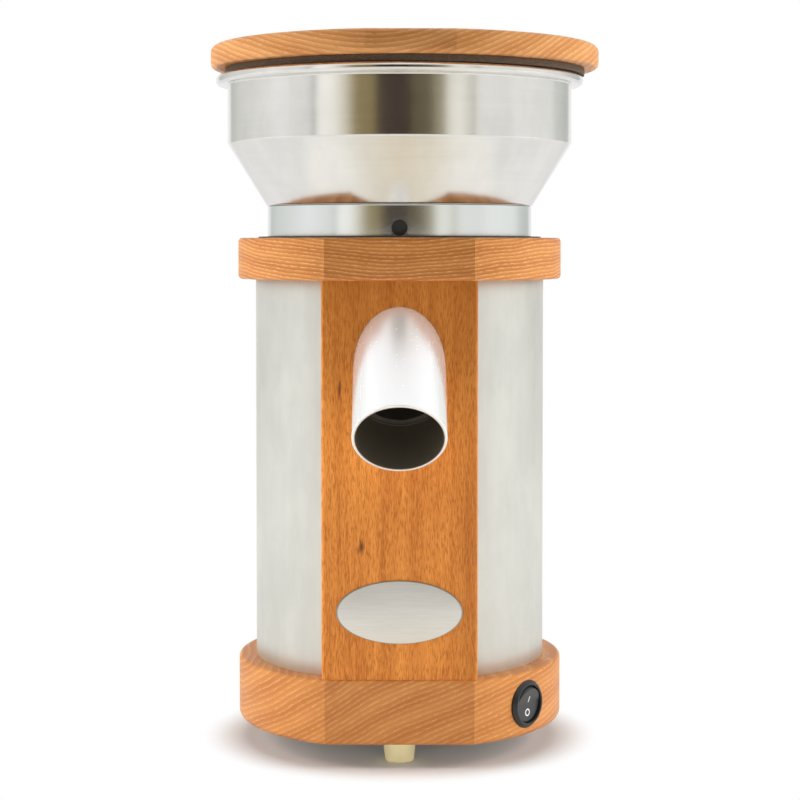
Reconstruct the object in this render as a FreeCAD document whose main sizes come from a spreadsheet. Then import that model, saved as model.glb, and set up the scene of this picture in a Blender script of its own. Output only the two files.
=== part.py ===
import FreeCAD, Part
import math
import os
import Sketcher
from FreeCAD import Placement, Rotation, Vector

# Electric grain mill with a turned beech base and top plate, a brushed steel
# housing, a spun steel hopper and a pair of furrowed millstones.
# Millimetres. Z is up, the feet stand on z = 0 on the mill's own axis, and
# the spout points to -Y.

# Driving sizes, each written once
SIZES = {
    # Rubber feet
    "foot_height": 9.7,
    "foot_top_radius": 7.2,
    "foot_bottom_radius": 6.1,
    "foot_edge": 1.0,
    "foot_circle": 50.0,
    "foot_bore": 2.2,
    "foot_sink": 3.7,
    "foot_sink_depth": 5.6,
    # Beech base
    "wood_margin": 7.8,
    "wood_flat": 7.3,
    "wood_edge": 1.7,
    "base_height": 27.9,
    "base_under_edge": 3.0,
    "base_ceiling": 6.0,
    "base_recess": 42.0,
    "air_hole": 28.0,
    # Sheet cover under the base
    "cover_margin": 10.7,
    "cover_thickness": 1.2,
    "cover_clearance": 0.3,
    "slot_inner": 14.0,
    "slot_outer": 34.0,
    "slot_width": 4.0,
    # Steel housing and the wooden front panel
    "shell_set": 3.2,
    "shell_wall": 0.8,
    "shell_height": 168.8,
    "panel_half_width": 33.0,
    "panel_set": 1.7,
    "panel_thickness": 8.0,
    "panel_edge": 1.3,
    "panel_gap": 0.1,
    "cut_allowance": 1.0,
    "dowel_radius": 2.5,
    "dowel_spread": 22.0,
    "dowel_depth": 10.0,
    # Oval plate on the panel
    "oval_width": 53.6,
    "oval_height": 26.9,
    "oval_thickness": 0.8,
    "oval_rise": 28.8,
    # Spout tube
    "spout_radius": 19.5,
    "spout_wall": 1.5,
    "spout_root_wall": 1.8,
    "mouth_depth": 24.7,
    "spout_tilt": 41.0,
    "spout_drop": 36.9,
    "spout_reach": 40.7,
    "spout_edge": 0.4,
    "spout_clearance": 0.1,
    # Beech top plate
    "plate_height": 18.2,
    "groove_floor": 12.6,
    # Black threaded ring in the top plate
    "ledge_width": 7.0,
    "thread_wall": 3.0,
    "thread_clearance": 0.1,
    "thread_rise": 5.4,
    "ring_floor_width": 6.0,
    "lip_reach": 2.5,
    "ring_lip_thickness": 0.6,
    "ring_wall": 1.0,
    "ring_floor": 1.7,
    # Cast milling chamber
    "chamber_depth": 36.4,
    "chamber_floor": 5.0,
    "chamber_radius": 45.0,
    "chamber_wall": 4.0,
    "chamber_ledge_drop": 11.4,
    "chamber_ledge_thickness": 9.0,
    "flange_reach": 6.5,
    "flange_thickness": 4.0,
    "duct_wall": 2.4,
    "duct_engagement": 15.4,
    "duct_back": 41.0,
    "duct_root": 27.1,
    "cast_gap": 0.3,
    "window_width": 24.0,
    "window_height": 20.0,
    "seal_radius": 10.5,
    "seal_depth": 3.5,
    "seal_lip": 8.0,
    # Rods and screws that hold the stack together
    "rod_radius": 2.0,
    "rod_set": 2.8,
    "rod_depth": 10.0,
    "nut_flats": 3.5,
    "nut_height": 3.2,
    "nut_sink": 4.2,
    "nut_sink_depth": 6.0,
    "screw_radius": 1.9,
    "screw_head": 3.4,
    "screw_head_height": 2.4,
    "screw_depth": 10.0,
    "screw_clearance": 0.05,
    "flange_screw_set": 3.6,
    "ring_screw_set": 2.5,
    "ring_screw_head": 2.4,
    # Upper stone and its spring-loaded carrier
    "stone_clearance": 4.0,
    "stone_height": 13.9,
    "stone_eye": 14.0,
    "stone_gap": 0.6,
    "furrow_depth": 1.2,
    "furrow_inner": 16.5,
    "furrow_margin": 5.5,
    "furrow_width": 3.4,
    "furrow_sweep": 9.0,
    "stone_bevel": 3.0,
    "carrier_gap": 0.5,
    "carrier_thickness": 3.6,
    "carrier_skirt": 6.0,
    "carrier_skirt_wall": 2.6,
    "carrier_hole": 16.3,
    "guide_set": 3.3,
    "guide_radius": 1.5,
    "guide_clearance": 0.2,
    "guide_depth": 6.0,
    "guide_top": 13.2,
    "spring_mean_radius": 2.6,
    "spring_wire": 0.8,
    # Lower stone, its hub and the flour wiper
    "hub_set": 5.0,
    "hub_disc": 3.0,
    "hub_spigot": 9.0,
    "hub_boss": 14.0,
    "hub_lift": 4.0,
    "spigot_drop": 1.0,
    "wiper_gap": 0.8,
    "wiper_clearance": 1.0,
    "wiper_blade": 3.0,
    "wiper_ring": 20.0,
    "wiper_lip": 2.0,
    "wiper_lip_height": 12.0,
    "washer_radius": 12.5,
    "washer_thickness": 1.5,
    "cap_radius": 7.0,
    "cap_height": 6.6,
    "cap_depth": 3.3,
    "cap_dome": 2.3,
    # Motor
    "motor_drop": 19.0,
    "motor_clearance": 24.4,
    "bracket_set": 2.5,
    "bracket_plate": 4.0,
    "upper_rim": 16.0,
    "lower_rim": 20.0,
    "bracket_step": 2.0,
    "rim_step": 1.4,
    "core_set": 2.5,
    "core_bore": 28.0,
    "air_gap": 0.5,
    "winding_inner": 31.0,
    "winding_set": 6.0,
    "winding_gap": 2.0,
    "bearing_radius": 14.0,
    "bearing_height": 9.0,
    "housing_wall": 4.0,
    "upper_housing_rise": 2.0,
    "lower_housing_rise": 1.0,
    "shaft_radius": 6.0,
    "shaft_tip_radius": 5.0,
    "shaft_clearance": 0.05,
    "bracket_clearance": 1.0,
    "shaft_tail": 18.0,
    "bolt_set": 3.5,
    "bolt_radius": 2.0,
    "stud_circle": 38.0,
    "stud_radius": 4.5,
    "stud_end": 2.5,
    "stud_engagement": 4.0,
    "fan_radius": 38.0,
    "fan_hub": 10.0,
    "fan_height": 12.0,
    "fan_disc": 1.5,
    "fan_blade": 1.6,
    "blade_root": 1.0,
    "fan_drop": 4.0,
    # Electrics in the base
    "capacitor_length": 47.0,
    "capacitor_depth": 28.0,
    "capacitor_height": 16.0,
    "capacitor_offset": 20.0,
    "block_length": 22.0,
    "block_depth": 12.0,
    "block_height": 10.0,
    "block_offset": 23.0,
    "block_shift": 16.8,
    "gland_bore": 3.6,
    "gland_radius": 6.0,
    "gland_flange": 8.4,
    "gland_flange_thickness": 2.4,
    "gland_length": 34.0,
    "gland_seat": 0.6,
    # Rocker switch
    "switch_angle": 49.5,
    "bezel_radius": 10.3,
    "bezel_thickness": 2.2,
    "bezel_chamfer": 1.3,
    "bezel_land": 0.9,
    "switch_seat": 0.8,
    "switch_can": 9.5,
    "switch_depth": 17.0,
    "switch_floor": 3.0,
    "rocker_opening": 8.1,
    "rocker_radius": 7.9,
    "rocker_face": 0.9,
    "rocker_pivot": 1.0,
    "rocker_throw": 20.0,
    "rocker_back": 2.5,
    # Adjusting collar
    "collar_set": 1.7,
    "collar_rise": 14.1,
    "collar_web": 6.7,
    "collar_skirt_wall": 3.3,
    "collar_skirt_gap": 0.9,
    "collar_edge": 0.5,
    "neck_wall": 6.9,
    "neck_length": 23.0,
    "feed_radius": 14.0,
    "feed_wall": 1.8,
    "feed_drop": 2.0,
    "index_radius": 3.4,
    "index_height": 4.1,
    "index_depth": 3.0,
    "index_sink": 0.4,
    # Spun hopper
    "foot_reach": 0.2,
    "hopper_radius": 77.1,
    "hopper_wall": 1.3,
    "hopper_throat": 17.0,
    "hopper_cone": 28.1,
    "hopper_side": 25.8,
    "hopper_bend": 2.0,
    "inner_crease_rise": 0.4,
    "inner_foot_set": 0.65,
    "bead_reach": 5.2,
    "bead_height": 4.2,
    "bead_round": 2.0,
    "hopper_screw_circle": 38.0,
    # Lid
    "lid_overhang": 4.5,
    "lid_flat": 2.0,
    "lid_thickness": 10.1,
    "lid_top_edge": 3.0,
    "lid_under_edge": 2.3,
    "lid_shift": 2.3,
    "lid_turn": 1.7,
    "disc_margin": 6.3,
    "disc_thickness": 3.0,
    "plug_clearance": 3.4,
    "disc_plug_depth": 4.0,
    "disc_gap": 0.1,
    "lid_screw_circle": 30.0,
    "lid_screw_reach": 5.0,
}

FOOT_COUNT = 3
ROD_COUNT = 3
SLOT_COUNT = 10
FURROW_COUNT = 12
SPRING_TURNS = 4
BLADE_COUNT = 3
FAN_BLADES = 7
BOLT_COUNT = 4

doc = FreeCAD.newDocument("grain_mill")
sheet = doc.addObject("Spreadsheet::Sheet", "Sizes")


class Size:
    """A size with its present value and the sheet expression that gives it."""

    def __init__(self, value, text):
        self.value = value
        self.text = text

    def joined(self, sign, first, second):
        values = {
            "+": lambda a, b: a + b,
            "-": lambda a, b: a - b,
            "*": lambda a, b: a * b,
            "/": lambda a, b: a / b,
        }
        value = values[sign](first.value, second.value)
        return Size(value, f"({first.text} {sign} {second.text})")

    def __add__(self, other):
        return self.joined("+", self, as_size(other))

    def __radd__(self, other):
        return self.joined("+", as_size(other), self)

    def __sub__(self, other):
        return self.joined("-", self, as_size(other))

    def __rsub__(self, other):
        return self.joined("-", as_size(other), self)

    def __mul__(self, other):
        return self.joined("*", self, as_size(other))

    def __rmul__(self, other):
        return self.joined("*", as_size(other), self)

    def __truediv__(self, other):
        return self.joined("/", self, as_size(other))

    def __neg__(self):
        return self.joined("-", as_size(0.0), self)


def as_size(number):
    """A Size as it is, or a plain number as a Size."""
    if isinstance(number, Size):
        return number
    return Size(float(number), repr(float(number)))


def sine(angle):
    """The sine of an angle in degrees."""
    return Size(math.sin(math.radians(angle.value)), f"sin({angle.text} * 1 deg)")


def cosine(angle):
    """The cosine of an angle in degrees."""
    return Size(math.cos(math.radians(angle.value)), f"cos({angle.text} * 1 deg)")


def tangent(angle):
    """The tangent of an angle in degrees."""
    return Size(math.tan(math.radians(angle.value)), f"tan({angle.text} * 1 deg)")


class Drawer:
    """The sheet's sizes, each read as size.name."""


size = Drawer()
for row, (name, number) in enumerate(SIZES.items(), start=1):
    sheet.set(f"A{row}", name.replace("_", " "))
    sheet.set(f"B{row}", str(number))
    sheet.setAlias(f"B{row}", name)
    setattr(size, name, Size(number, f"Sizes.{name}"))
doc.recompute()

# Levels and distances that follow from the driving sizes
thread_radius = size.chamber_radius + size.ledge_width
chamber_outer = thread_radius + size.thread_wall
carrier_radius = thread_radius - size.carrier_gap
guide_circle = size.chamber_radius + size.guide_set
rod_circle = chamber_outer + size.rod_set
flange_screw_circle = chamber_outer + size.flange_screw_set
ring_screw_circle = chamber_outer + size.ring_screw_set
flange_radius = chamber_outer + size.flange_reach
ring_outer = chamber_outer + size.ring_floor_width
ring_lip = ring_outer + size.lip_reach
collar_radius = ring_outer - size.collar_set
hopper_foot = collar_radius + size.foot_reach
bracket_radius = chamber_outer - size.bracket_set
core_radius = bracket_radius - size.core_set
bolt_circle = core_radius - size.bolt_set
winding_outer = core_radius - size.winding_set
shell_radius = flange_radius + size.shell_set
wood_radius = shell_radius + size.wood_margin
cover_radius = wood_radius - size.cover_margin
wood_facet = wood_radius - size.wood_flat
base_bottom = size.foot_height
base_top = base_bottom + size.base_height
ceiling = base_top - size.base_ceiling
cover_top = base_bottom + size.cover_thickness
shell_top = base_top + size.shell_height
plate_top = shell_top + size.plate_height
groove_level = shell_top + size.groove_floor
panel_front = wood_facet - size.panel_set
panel_back = panel_front - size.panel_thickness
spout_crossing = shell_top - size.spout_drop
mouth_bore = size.spout_radius - size.spout_wall
root_bore = size.spout_radius - size.spout_root_wall
chamber_floor_top = shell_top - size.chamber_depth
chamber_bottom = chamber_floor_top - size.chamber_floor
ledge_level = shell_top - size.chamber_ledge_drop
stone_radius = size.chamber_radius - size.stone_clearance
furrow_outer = stone_radius - size.furrow_margin
hub_radius = stone_radius - size.hub_set
wiper_reach = size.chamber_radius - size.wiper_gap
collar_top = plate_top + size.collar_rise
web_bottom = collar_top - size.collar_web
neck_bottom = web_bottom - size.neck_length
carrier_top = neck_bottom - size.disc_gap
carrier_bottom = carrier_top - size.carrier_thickness
upper_face = carrier_bottom - size.stone_height
lower_face = upper_face - size.stone_gap
hub_level = chamber_floor_top + size.hub_lift
stone_seat = hub_level + size.hub_disc
bracket_top = chamber_bottom - size.motor_drop
bracket_bottom = base_top + size.motor_clearance
core_top = bracket_top - size.upper_rim
core_bottom = bracket_bottom + size.lower_rim
bead_outer = size.hopper_radius + size.bead_reach
disc_plug = size.hopper_radius - size.hopper_wall - size.plug_clearance
lid_radius = bead_outer + size.lid_overhang
crease = collar_top + size.hopper_cone
rim_top = crease + size.hopper_side + size.bead_height
disc_bottom = rim_top + size.disc_gap
lid_bottom = disc_bottom + size.disc_thickness


def bind(thing, path, amount):
    """Binds a property to the sheet through its expression."""
    thing.setExpression(path, as_size(amount).text)


def new_body(name):
    """An empty body whose label names the piece."""
    body = doc.addObject("PartDesign::Body", name)
    body.Label = name
    return body


def origin_plane(body, role):
    """One of the body's own origin planes or axes."""
    return next(item for item in body.Origin.OriginFeatures if item.Role == role)


def sketch_on(body, name, role="XZ_Plane", lift=(0, 0, 0), axis=None, turn=0):
    """A sketch on an origin plane, moved by lift and turned about axis in the plane's own frame."""
    sketch = body.newObject("Sketcher::SketchObject", name)
    sketch.AttachmentSupport = (origin_plane(body, role), [""])
    sketch.MapMode = "FlatFace"
    if axis is not None:
        sketch.AttachmentOffset = Placement(Vector(), Rotation(Vector(*axis), as_size(turn).value))
        bind(sketch, ".AttachmentOffset.Rotation.Angle", turn)
    for letter, amount in zip("xyz", lift):
        bind(sketch, f".AttachmentOffset.Base.{letter}", amount)
    return sketch


def pin_point(sketch, edge, corner, x, y):
    """Holds a sketch point at x and y from the sketch's origin."""
    for kind, amount, own_axis in (("DistanceX", as_size(x), -2), ("DistanceY", as_size(y), -1)):
        if amount.value == 0:
            sketch.addConstraint(Sketcher.Constraint("PointOnObject", edge, corner, own_axis))
        elif amount.value > 0:
            row = sketch.addConstraint(Sketcher.Constraint(kind, -1, 1, edge, corner, amount.value))
            bind(sketch, f"Constraints[{row}]", amount)
        else:
            row = sketch.addConstraint(Sketcher.Constraint(kind, edge, corner, -1, 1, -amount.value))
            bind(sketch, f"Constraints[{row}]", -amount)


def polygon(sketch, points):
    """A closed outline of straight lines through the points."""
    first = sketch.GeometryCount
    count = len(points)
    places = [Vector(as_size(x).value, as_size(y).value, 0) for x, y in points]
    for index in range(count):
        sketch.addGeometry(Part.LineSegment(places[index], places[(index + 1) % count]), False)
    for index in range(count):
        follower = first + (index + 1) % count
        sketch.addConstraint(Sketcher.Constraint("Coincident", first + index, 2, follower, 1))
    for index, (x, y) in enumerate(points):
        pin_point(sketch, first + index, 1, x, y)


def circle(sketch, x, y, radius):
    """A circle about the point x, y."""
    edge = sketch.GeometryCount
    radius = as_size(radius)
    centre = Vector(as_size(x).value, as_size(y).value, 0)
    sketch.addGeometry(Part.Circle(centre, Vector(0, 0, 1), radius.value), False)
    row = sketch.addConstraint(Sketcher.Constraint("Radius", edge, radius.value))
    bind(sketch, f"Constraints[{row}]", radius)
    pin_point(sketch, edge, 3, x, y)


def rectangle(sketch, left, right, low, high):
    """A rectangle between two x and two y."""
    polygon(sketch, [(left, low), (right, low), (right, high), (left, high)])


def flat_fronted_disc(sketch, radius, facet):
    """A round outline whose front is cut off straight at y = -facet."""
    half = math.acos(facet.value / radius.value)
    ends = (half - math.pi / 2, 3 * math.pi / 2 - half)
    arc = Part.ArcOfCircle(Part.Circle(Vector(), Vector(0, 0, 1), radius.value), *ends)
    sketch.addGeometry(arc, False)
    corners = [Vector(radius.value * math.cos(a), radius.value * math.sin(a), 0) for a in reversed(ends)]
    sketch.addGeometry(Part.LineSegment(*corners), False)
    sketch.addConstraint(Sketcher.Constraint("Coincident", 0, 2, 1, 1))
    sketch.addConstraint(Sketcher.Constraint("Coincident", 1, 2, 0, 1))
    sketch.addConstraint(Sketcher.Constraint("Coincident", 0, 3, -1, 1))
    sketch.addConstraint(Sketcher.Constraint("Horizontal", 1))
    row = sketch.addConstraint(Sketcher.Constraint("Radius", 0, radius.value))
    bind(sketch, f"Constraints[{row}]", radius)
    row = sketch.addConstraint(Sketcher.Constraint("DistanceY", 1, 1, -1, 1, facet.value))
    bind(sketch, f"Constraints[{row}]", facet)


def feature(body, kind, name, sketch):
    """A sketch-based feature of the body."""
    item = body.newObject(f"PartDesign::{kind}", name)
    item.Profile = sketch
    sketch.Visibility = False
    return item


def pad(body, name, sketch, length, both_ways=False):
    """Adds the sketch's outline along its normal."""
    item = feature(body, "Pad", name, sketch)
    item.SideType = "Symmetric" if both_ways else "One side"
    bind(item, "Length", length)
    return item


def pocket(body, name, sketch, depth, outward=False, both_ways=False):
    """Cuts the sketch's outline against its normal, or along it where outward is set."""
    item = feature(body, "Pocket", name, sketch)
    item.SideType = "Symmetric" if both_ways else "One side"
    item.Reversed = outward
    bind(item, "Length", depth)
    return item


def turn_about(body, kind, name, sketch):
    """A full turn of the sketch about its own vertical axis."""
    item = feature(body, kind, name, sketch)
    item.ReferenceAxis = (sketch, ["V_Axis"])
    item.Angle = 360
    return item


def turned(body, name, points, **place):
    """Adds a lathe-turned solid whose section runs through the points."""
    sketch = sketch_on(body, f"{name}_section", **place)
    polygon(sketch, points)
    return turn_about(body, "Revolution", name, sketch)


def bored(body, name, points, **place):
    """Cuts a lathe-turned hollow whose section runs through the points."""
    sketch = sketch_on(body, f"{name}_section", **place)
    polygon(sketch, points)
    return turn_about(body, "Groove", name, sketch)


def ring_of(body, original, count):
    """Repeats a feature evenly about the mill's axis."""
    doc.recompute()
    pattern = body.newObject("PartDesign::PolarPattern", f"{original.Name}_ring")
    pattern.Originals = [original]
    pattern.Axis = (origin_plane(body, "Z_Axis"), [""])
    pattern.Angle = 360
    pattern.Occurrences = count
    body.Tip = pattern
    return pattern


def rounded(body, name, radius, chosen):
    """Rounds every edge that the test picks."""
    doc.recompute()
    base = body.Tip
    edges = [f"Edge{n}" for n, edge in enumerate(base.Shape.Edges, start=1) if chosen(edge)]
    item = body.newObject("PartDesign::Fillet", name)
    item.Base = (base, edges)
    bind(item, "Radius", radius)
    return item


def bevelled(body, name, width, chosen):
    """Breaks every edge that the test picks."""
    doc.recompute()
    base = body.Tip
    edges = [f"Edge{n}" for n, edge in enumerate(base.Shape.Edges, start=1) if chosen(edge)]
    item = body.newObject("PartDesign::Chamfer", name)
    item.Base = (base, edges)
    bind(item, "Size", width)
    return item


def flat_at(level):
    """A test for edges that lie level at a height."""
    height = as_size(level).value

    def chosen(edge):
        box = edge.BoundBox
        return abs(box.ZMin - height) < TOUCH and abs(box.ZMax - height) < TOUCH

    return chosen


def round_at(level, radius):
    """A test for the full or part circles of a radius at a height."""
    flat = flat_at(level)
    wanted = as_size(radius).value

    def chosen(edge):
        return flat(edge) and isinstance(edge.Curve, Part.Circle) and abs(edge.Curve.Radius - wanted) < TOUCH

    return chosen


def either(*tests):
    """A test that passes an edge where any of the tests does."""
    return lambda edge: any(test(edge) for test in tests)


def drilled(body, name, x, y, radius, top, depth, count=1):
    """Drills a hole down from the level top, or a ring of such holes."""
    sketch = sketch_on(body, f"{name}_centre", "XY_Plane", lift=(0, 0, top))
    circle(sketch, x, y, radius)
    hole = pocket(body, name, sketch, depth)
    if count > 1:
        ring_of(body, hole, count)
    return hole


def on_circle(radius, degrees):
    """The x and y of a point on a circle about the axis."""
    angle = as_size(degrees)
    return radius * cosine(angle), radius * sine(angle)


# Angles of what stands round the axis, from +X
FOOT_ANGLE = -90
ROD_ANGLE = 0
FLANGE_SCREW_ANGLE = 60
RING_SCREW_ANGLE = 30
GUIDE_ANGLE = 90
STUD_ANGLE = 90
BOLT_ANGLE = 45
HALF_NUT_ANGLE = 30

# Distances within which two places count as the same
TOUCH = 1e-4
MOUTH_BAND = 0.5

screw_hole = size.screw_radius + size.screw_clearance
rod_hole = size.rod_radius + size.screw_clearance

# Rubber feet: short cones with a sunk screw, three round the base
foot_names = ("foot_front", "foot_right", "foot_left")
for index, name in enumerate(foot_names):
    foot = new_body(name)
    turned(foot, f"{name}_cone", [
        (size.foot_sink, 0),
        (size.foot_bottom_radius, 0),
        (size.foot_top_radius, size.foot_height),
        (size.foot_bore, size.foot_height),
        (size.foot_bore, size.foot_sink_depth),
        (size.foot_sink, size.foot_sink_depth),
    ])
    bevelled(foot, f"{name}_edge", size.foot_edge, round_at(0, size.foot_bottom_radius))
    x, y = on_circle(size.foot_circle, FOOT_ANGLE + 360 * index / FOOT_COUNT)
    bind(foot, ".Placement.Base.x", x)
    bind(foot, ".Placement.Base.y", y)

# Screws through the feet into the base
foot_screws = new_body("foot_screws")
head_bottom = size.foot_sink_depth - size.screw_head_height
turned(foot_screws, "foot_screw", [
    (0, head_bottom),
    (size.screw_head, head_bottom),
    (size.screw_head, size.foot_sink_depth),
    (size.screw_radius, size.foot_sink_depth),
    (size.screw_radius, cover_top + size.screw_depth),
    (0, cover_top + size.screw_depth),
], lift=(0, 0, size.foot_circle))
ring_of(foot_screws, foot_screws.Tip, FOOT_COUNT)

# Beech base: a thick disc with a straight front, hollowed from below for the electrics
base = new_body("base")
outline = sketch_on(base, "base_outline", "XY_Plane", lift=(0, 0, base_bottom))
flat_fronted_disc(outline, wood_radius, wood_facet)
pad(base, "base_disc", outline, size.base_height)
rounded(base, "base_top_edge", size.wood_edge, flat_at(base_top))
rounded(base, "base_lower_edge", size.base_under_edge, flat_at(base_bottom))
cover_seat = cover_radius + size.cover_clearance
bored(base, "base_recess_cut", [
    (0, base_bottom),
    (cover_seat, base_bottom),
    (cover_seat, cover_top),
    (size.base_recess, cover_top),
    (size.base_recess, ceiling),
    (size.air_hole, ceiling),
    (size.air_hole, base_top),
    (0, base_top),
])
x, y = on_circle(size.foot_circle, FOOT_ANGLE)
thread_end = cover_top + size.screw_depth
drilled(base, "foot_screw_hole", x, y, screw_hole, thread_end, size.screw_depth, FOOT_COUNT)
x, y = on_circle(rod_circle, ROD_ANGLE)
drilled(base, "rod_hole", x, y, rod_hole, base_top, size.base_height, ROD_COUNT)
nut_level = cover_top + size.nut_sink_depth
drilled(base, "nut_recess", x, y, size.nut_sink, nut_level, size.nut_sink_depth, ROD_COUNT)
dowel_line = panel_front - size.panel_thickness / 2
for side, sign in (("left", -1), ("right", 1)):
    x = size.dowel_spread * sign
    drilled(base, f"base_dowel_hole_{side}", x, -dowel_line, size.dowel_radius, base_top, size.dowel_depth)

# The switch and the cord gland sit in bores from the base's side
switch_height = base_bottom + size.base_height / 2
switch_face = wood_radius - size.switch_seat
gland_face = wood_radius - size.gland_seat
flat_cut = size.switch_seat + size.cut_allowance
for name, turn, radius, start, length in (
    ("switch_bore", size.switch_angle, size.switch_can, 0, wood_radius),
    ("switch_flat", size.switch_angle, size.bezel_radius, switch_face, flat_cut),
    ("gland_bore_hole", as_size(180), size.gland_radius, 0, wood_radius),
    ("gland_flat", as_size(180), size.gland_flange, gland_face, flat_cut),
):
    x = sine(turn) * start
    z = cosine(turn) * start
    sketch = sketch_on(base, f"{name}_circle", lift=(x, switch_height, z), axis=(0, 1, 0), turn=turn)
    circle(sketch, 0, 0, radius + size.screw_clearance)
    pocket(base, name, sketch, length, outward=True)

# Sheet cover with radial air slots
cover = new_body("bottom_cover")
outline = sketch_on(cover, "cover_outline", "XY_Plane", lift=(0, 0, base_bottom))
circle(outline, 0, 0, cover_radius)
pad(cover, "cover_sheet", outline, size.cover_thickness)
slot = sketch_on(cover, "slot_outline", "XY_Plane", lift=(0, 0, cover_top))
rectangle(slot, size.slot_inner, size.slot_outer, -size.slot_width / 2, size.slot_width / 2)
ring_of(cover, pocket(cover, "air_slot", slot, size.cover_thickness), SLOT_COUNT)
x, y = on_circle(size.foot_circle, FOOT_ANGLE)
drilled(cover, "cover_screw_hole", x, y, size.foot_bore, cover_top, size.cover_thickness, FOOT_COUNT)

# Rolled steel housing, open at the front where the panel stands
shell = new_body("body_shell")
outline = sketch_on(shell, "shell_outline", "XY_Plane", lift=(0, 0, base_top))
circle(outline, 0, 0, shell_radius)
circle(outline, 0, 0, shell_radius - size.shell_wall)
pad(shell, "shell_wall_tube", outline, size.shell_height)
front = sketch_on(shell, "shell_front", "XY_Plane", lift=(0, 0, shell_top))
shell_side = size.panel_half_width + size.panel_gap
rectangle(front, -shell_side, shell_side, -shell_radius - size.cut_allowance, 0)
pocket(shell, "shell_opening", front, size.shell_height)

# Beech front panel with the slanting bore for the spout
spout_turn = dict(lift=(0, spout_crossing, panel_front), axis=(1, 0, 0), turn=size.spout_tilt)
panel = new_body("front_panel")
outline = sketch_on(panel, "panel_outline", "XY_Plane", lift=(0, 0, base_top))
rectangle(outline, -size.panel_half_width, size.panel_half_width, -panel_front, -panel_back)
pad(panel, "panel_board", outline, size.shell_height)


def front_arris(edge):
    """The panel's two upright front edges."""
    box = edge.BoundBox
    upright = box.XLength < TOUCH and box.YLength < TOUCH
    return upright and abs(box.YMin + panel_front.value) < TOUCH


rounded(panel, "panel_arris", size.panel_edge, front_arris)
sketch = sketch_on(panel, "panel_bore_circle", **spout_turn)
circle(sketch, 0, 0, size.spout_radius + size.spout_clearance)
pocket(panel, "panel_bore", sketch, size.spout_reach * 2, both_ways=True)
for level, end in ((base_top + size.dowel_depth, "low"), (shell_top, "high")):
    for side, sign in (("left", -1), ("right", 1)):
        x = size.dowel_spread * sign
        hole_name = f"panel_dowel_{end}_{side}"
        drilled(panel, hole_name, x, -dowel_line, size.dowel_radius, level, size.dowel_depth)

# Dowels that hold the panel between the base and the top plate
dowels = new_body("panel_dowels")
for level, end in ((base_top, "low"), (shell_top, "high")):
    for side, sign in (("left", -1), ("right", 1)):
        sketch = sketch_on(dowels, f"dowel_{end}_{side}_circle", "XY_Plane", lift=(0, 0, level))
        circle(sketch, size.dowel_spread * sign, -dowel_line, size.dowel_radius)
        pad(dowels, f"dowel_{end}_{side}", sketch, size.dowel_depth * 2, both_ways=True)

# Bare oval plate of brushed sheet on the panel
oval = doc.addObject("Part::Ellipse", "oval_edge")
bind(oval, "MajorRadius", size.oval_width / 2)
bind(oval, "MinorRadius", size.oval_height / 2)
oval_piece = doc.addObject("Part::Extrusion", "oval_plate")
oval_piece.Label = "oval_plate"
oval_piece.Base = oval
oval_piece.DirMode = "Normal"
oval_piece.Solid = True
bind(oval_piece, "LengthFwd", size.oval_thickness)
oval_piece.Placement = Placement(Vector(), Rotation(Vector(1, 0, 0), 90))
bind(oval_piece, ".Placement.Base.y", -panel_front)
bind(oval_piece, ".Placement.Base.z", base_top + size.oval_rise)

# Spout: a tube cut square at its mouth and coped round the chamber at its root
cope_radius = chamber_outer + size.cast_gap
spout = new_body("spout_tube")
tube_lift = (
    0,
    spout_crossing + sine(size.spout_tilt) * size.spout_reach,
    panel_front - cosine(size.spout_tilt) * size.spout_reach,
)
sketch = sketch_on(spout, "spout_rings", lift=tube_lift, axis=(1, 0, 0), turn=size.spout_tilt)
circle(sketch, 0, 0, size.spout_radius)
circle(sketch, 0, 0, root_bore)
pad(spout, "spout_pipe", sketch, size.spout_reach * 2)
mouth_height = spout_crossing - sine(size.spout_tilt) * size.spout_reach
mouth_place = (0, mouth_height, panel_front + cosine(size.spout_tilt) * size.spout_reach)
sketch = sketch_on(spout, "mouth_circle", lift=mouth_place, axis=(1, 0, 0), turn=size.spout_tilt)
circle(sketch, 0, 0, mouth_bore)
pocket(spout, "mouth_bore", sketch, size.mouth_depth)


def at_mouth(edge):
    """The two round edges of the spout's mouth."""
    middle = edge.BoundBox.Center
    return isinstance(edge.Curve, Part.Circle) and abs(middle.z - mouth_height.value) < MOUTH_BAND


rounded(spout, "spout_mouth_edge", size.spout_edge, at_mouth)
bored(spout, "spout_cope", [
    (0, base_top),
    (cope_radius, base_top),
    (cope_radius, plate_top),
    (0, plate_top),
])

# Beech top plate: the base's outline, bored and stepped for the threaded ring
top_plate = new_body("top_plate")
outline = sketch_on(top_plate, "plate_outline", "XY_Plane", lift=(0, 0, shell_top))
flat_fronted_disc(outline, wood_radius, wood_facet)
pad(top_plate, "plate_disc", outline, size.plate_height)
rounded(top_plate, "plate_edges", size.wood_edge, either(flat_at(shell_top), flat_at(plate_top)))
through = chamber_outer + size.thread_clearance
counterbore = ring_outer + size.thread_clearance
bored(top_plate, "plate_bore", [
    (0, shell_top),
    (through, shell_top),
    (through, groove_level),
    (counterbore, groove_level),
    (counterbore, plate_top),
    (0, plate_top),
])
x, y = on_circle(rod_circle, ROD_ANGLE)
drilled(top_plate, "plate_rod_hole", x, y, rod_hole, shell_top + size.rod_depth, size.rod_depth, ROD_COUNT)
x, y = on_circle(flange_screw_circle, FLANGE_SCREW_ANGLE)
screw_end = shell_top + size.screw_depth
drilled(top_plate, "plate_screw_hole", x, y, screw_hole, screw_end, size.screw_depth, ROD_COUNT)
x, y = on_circle(ring_screw_circle, RING_SCREW_ANGLE)
drilled(top_plate, "plate_ring_hole", x, y, screw_hole, groove_level, size.screw_depth, ROD_COUNT)
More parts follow.
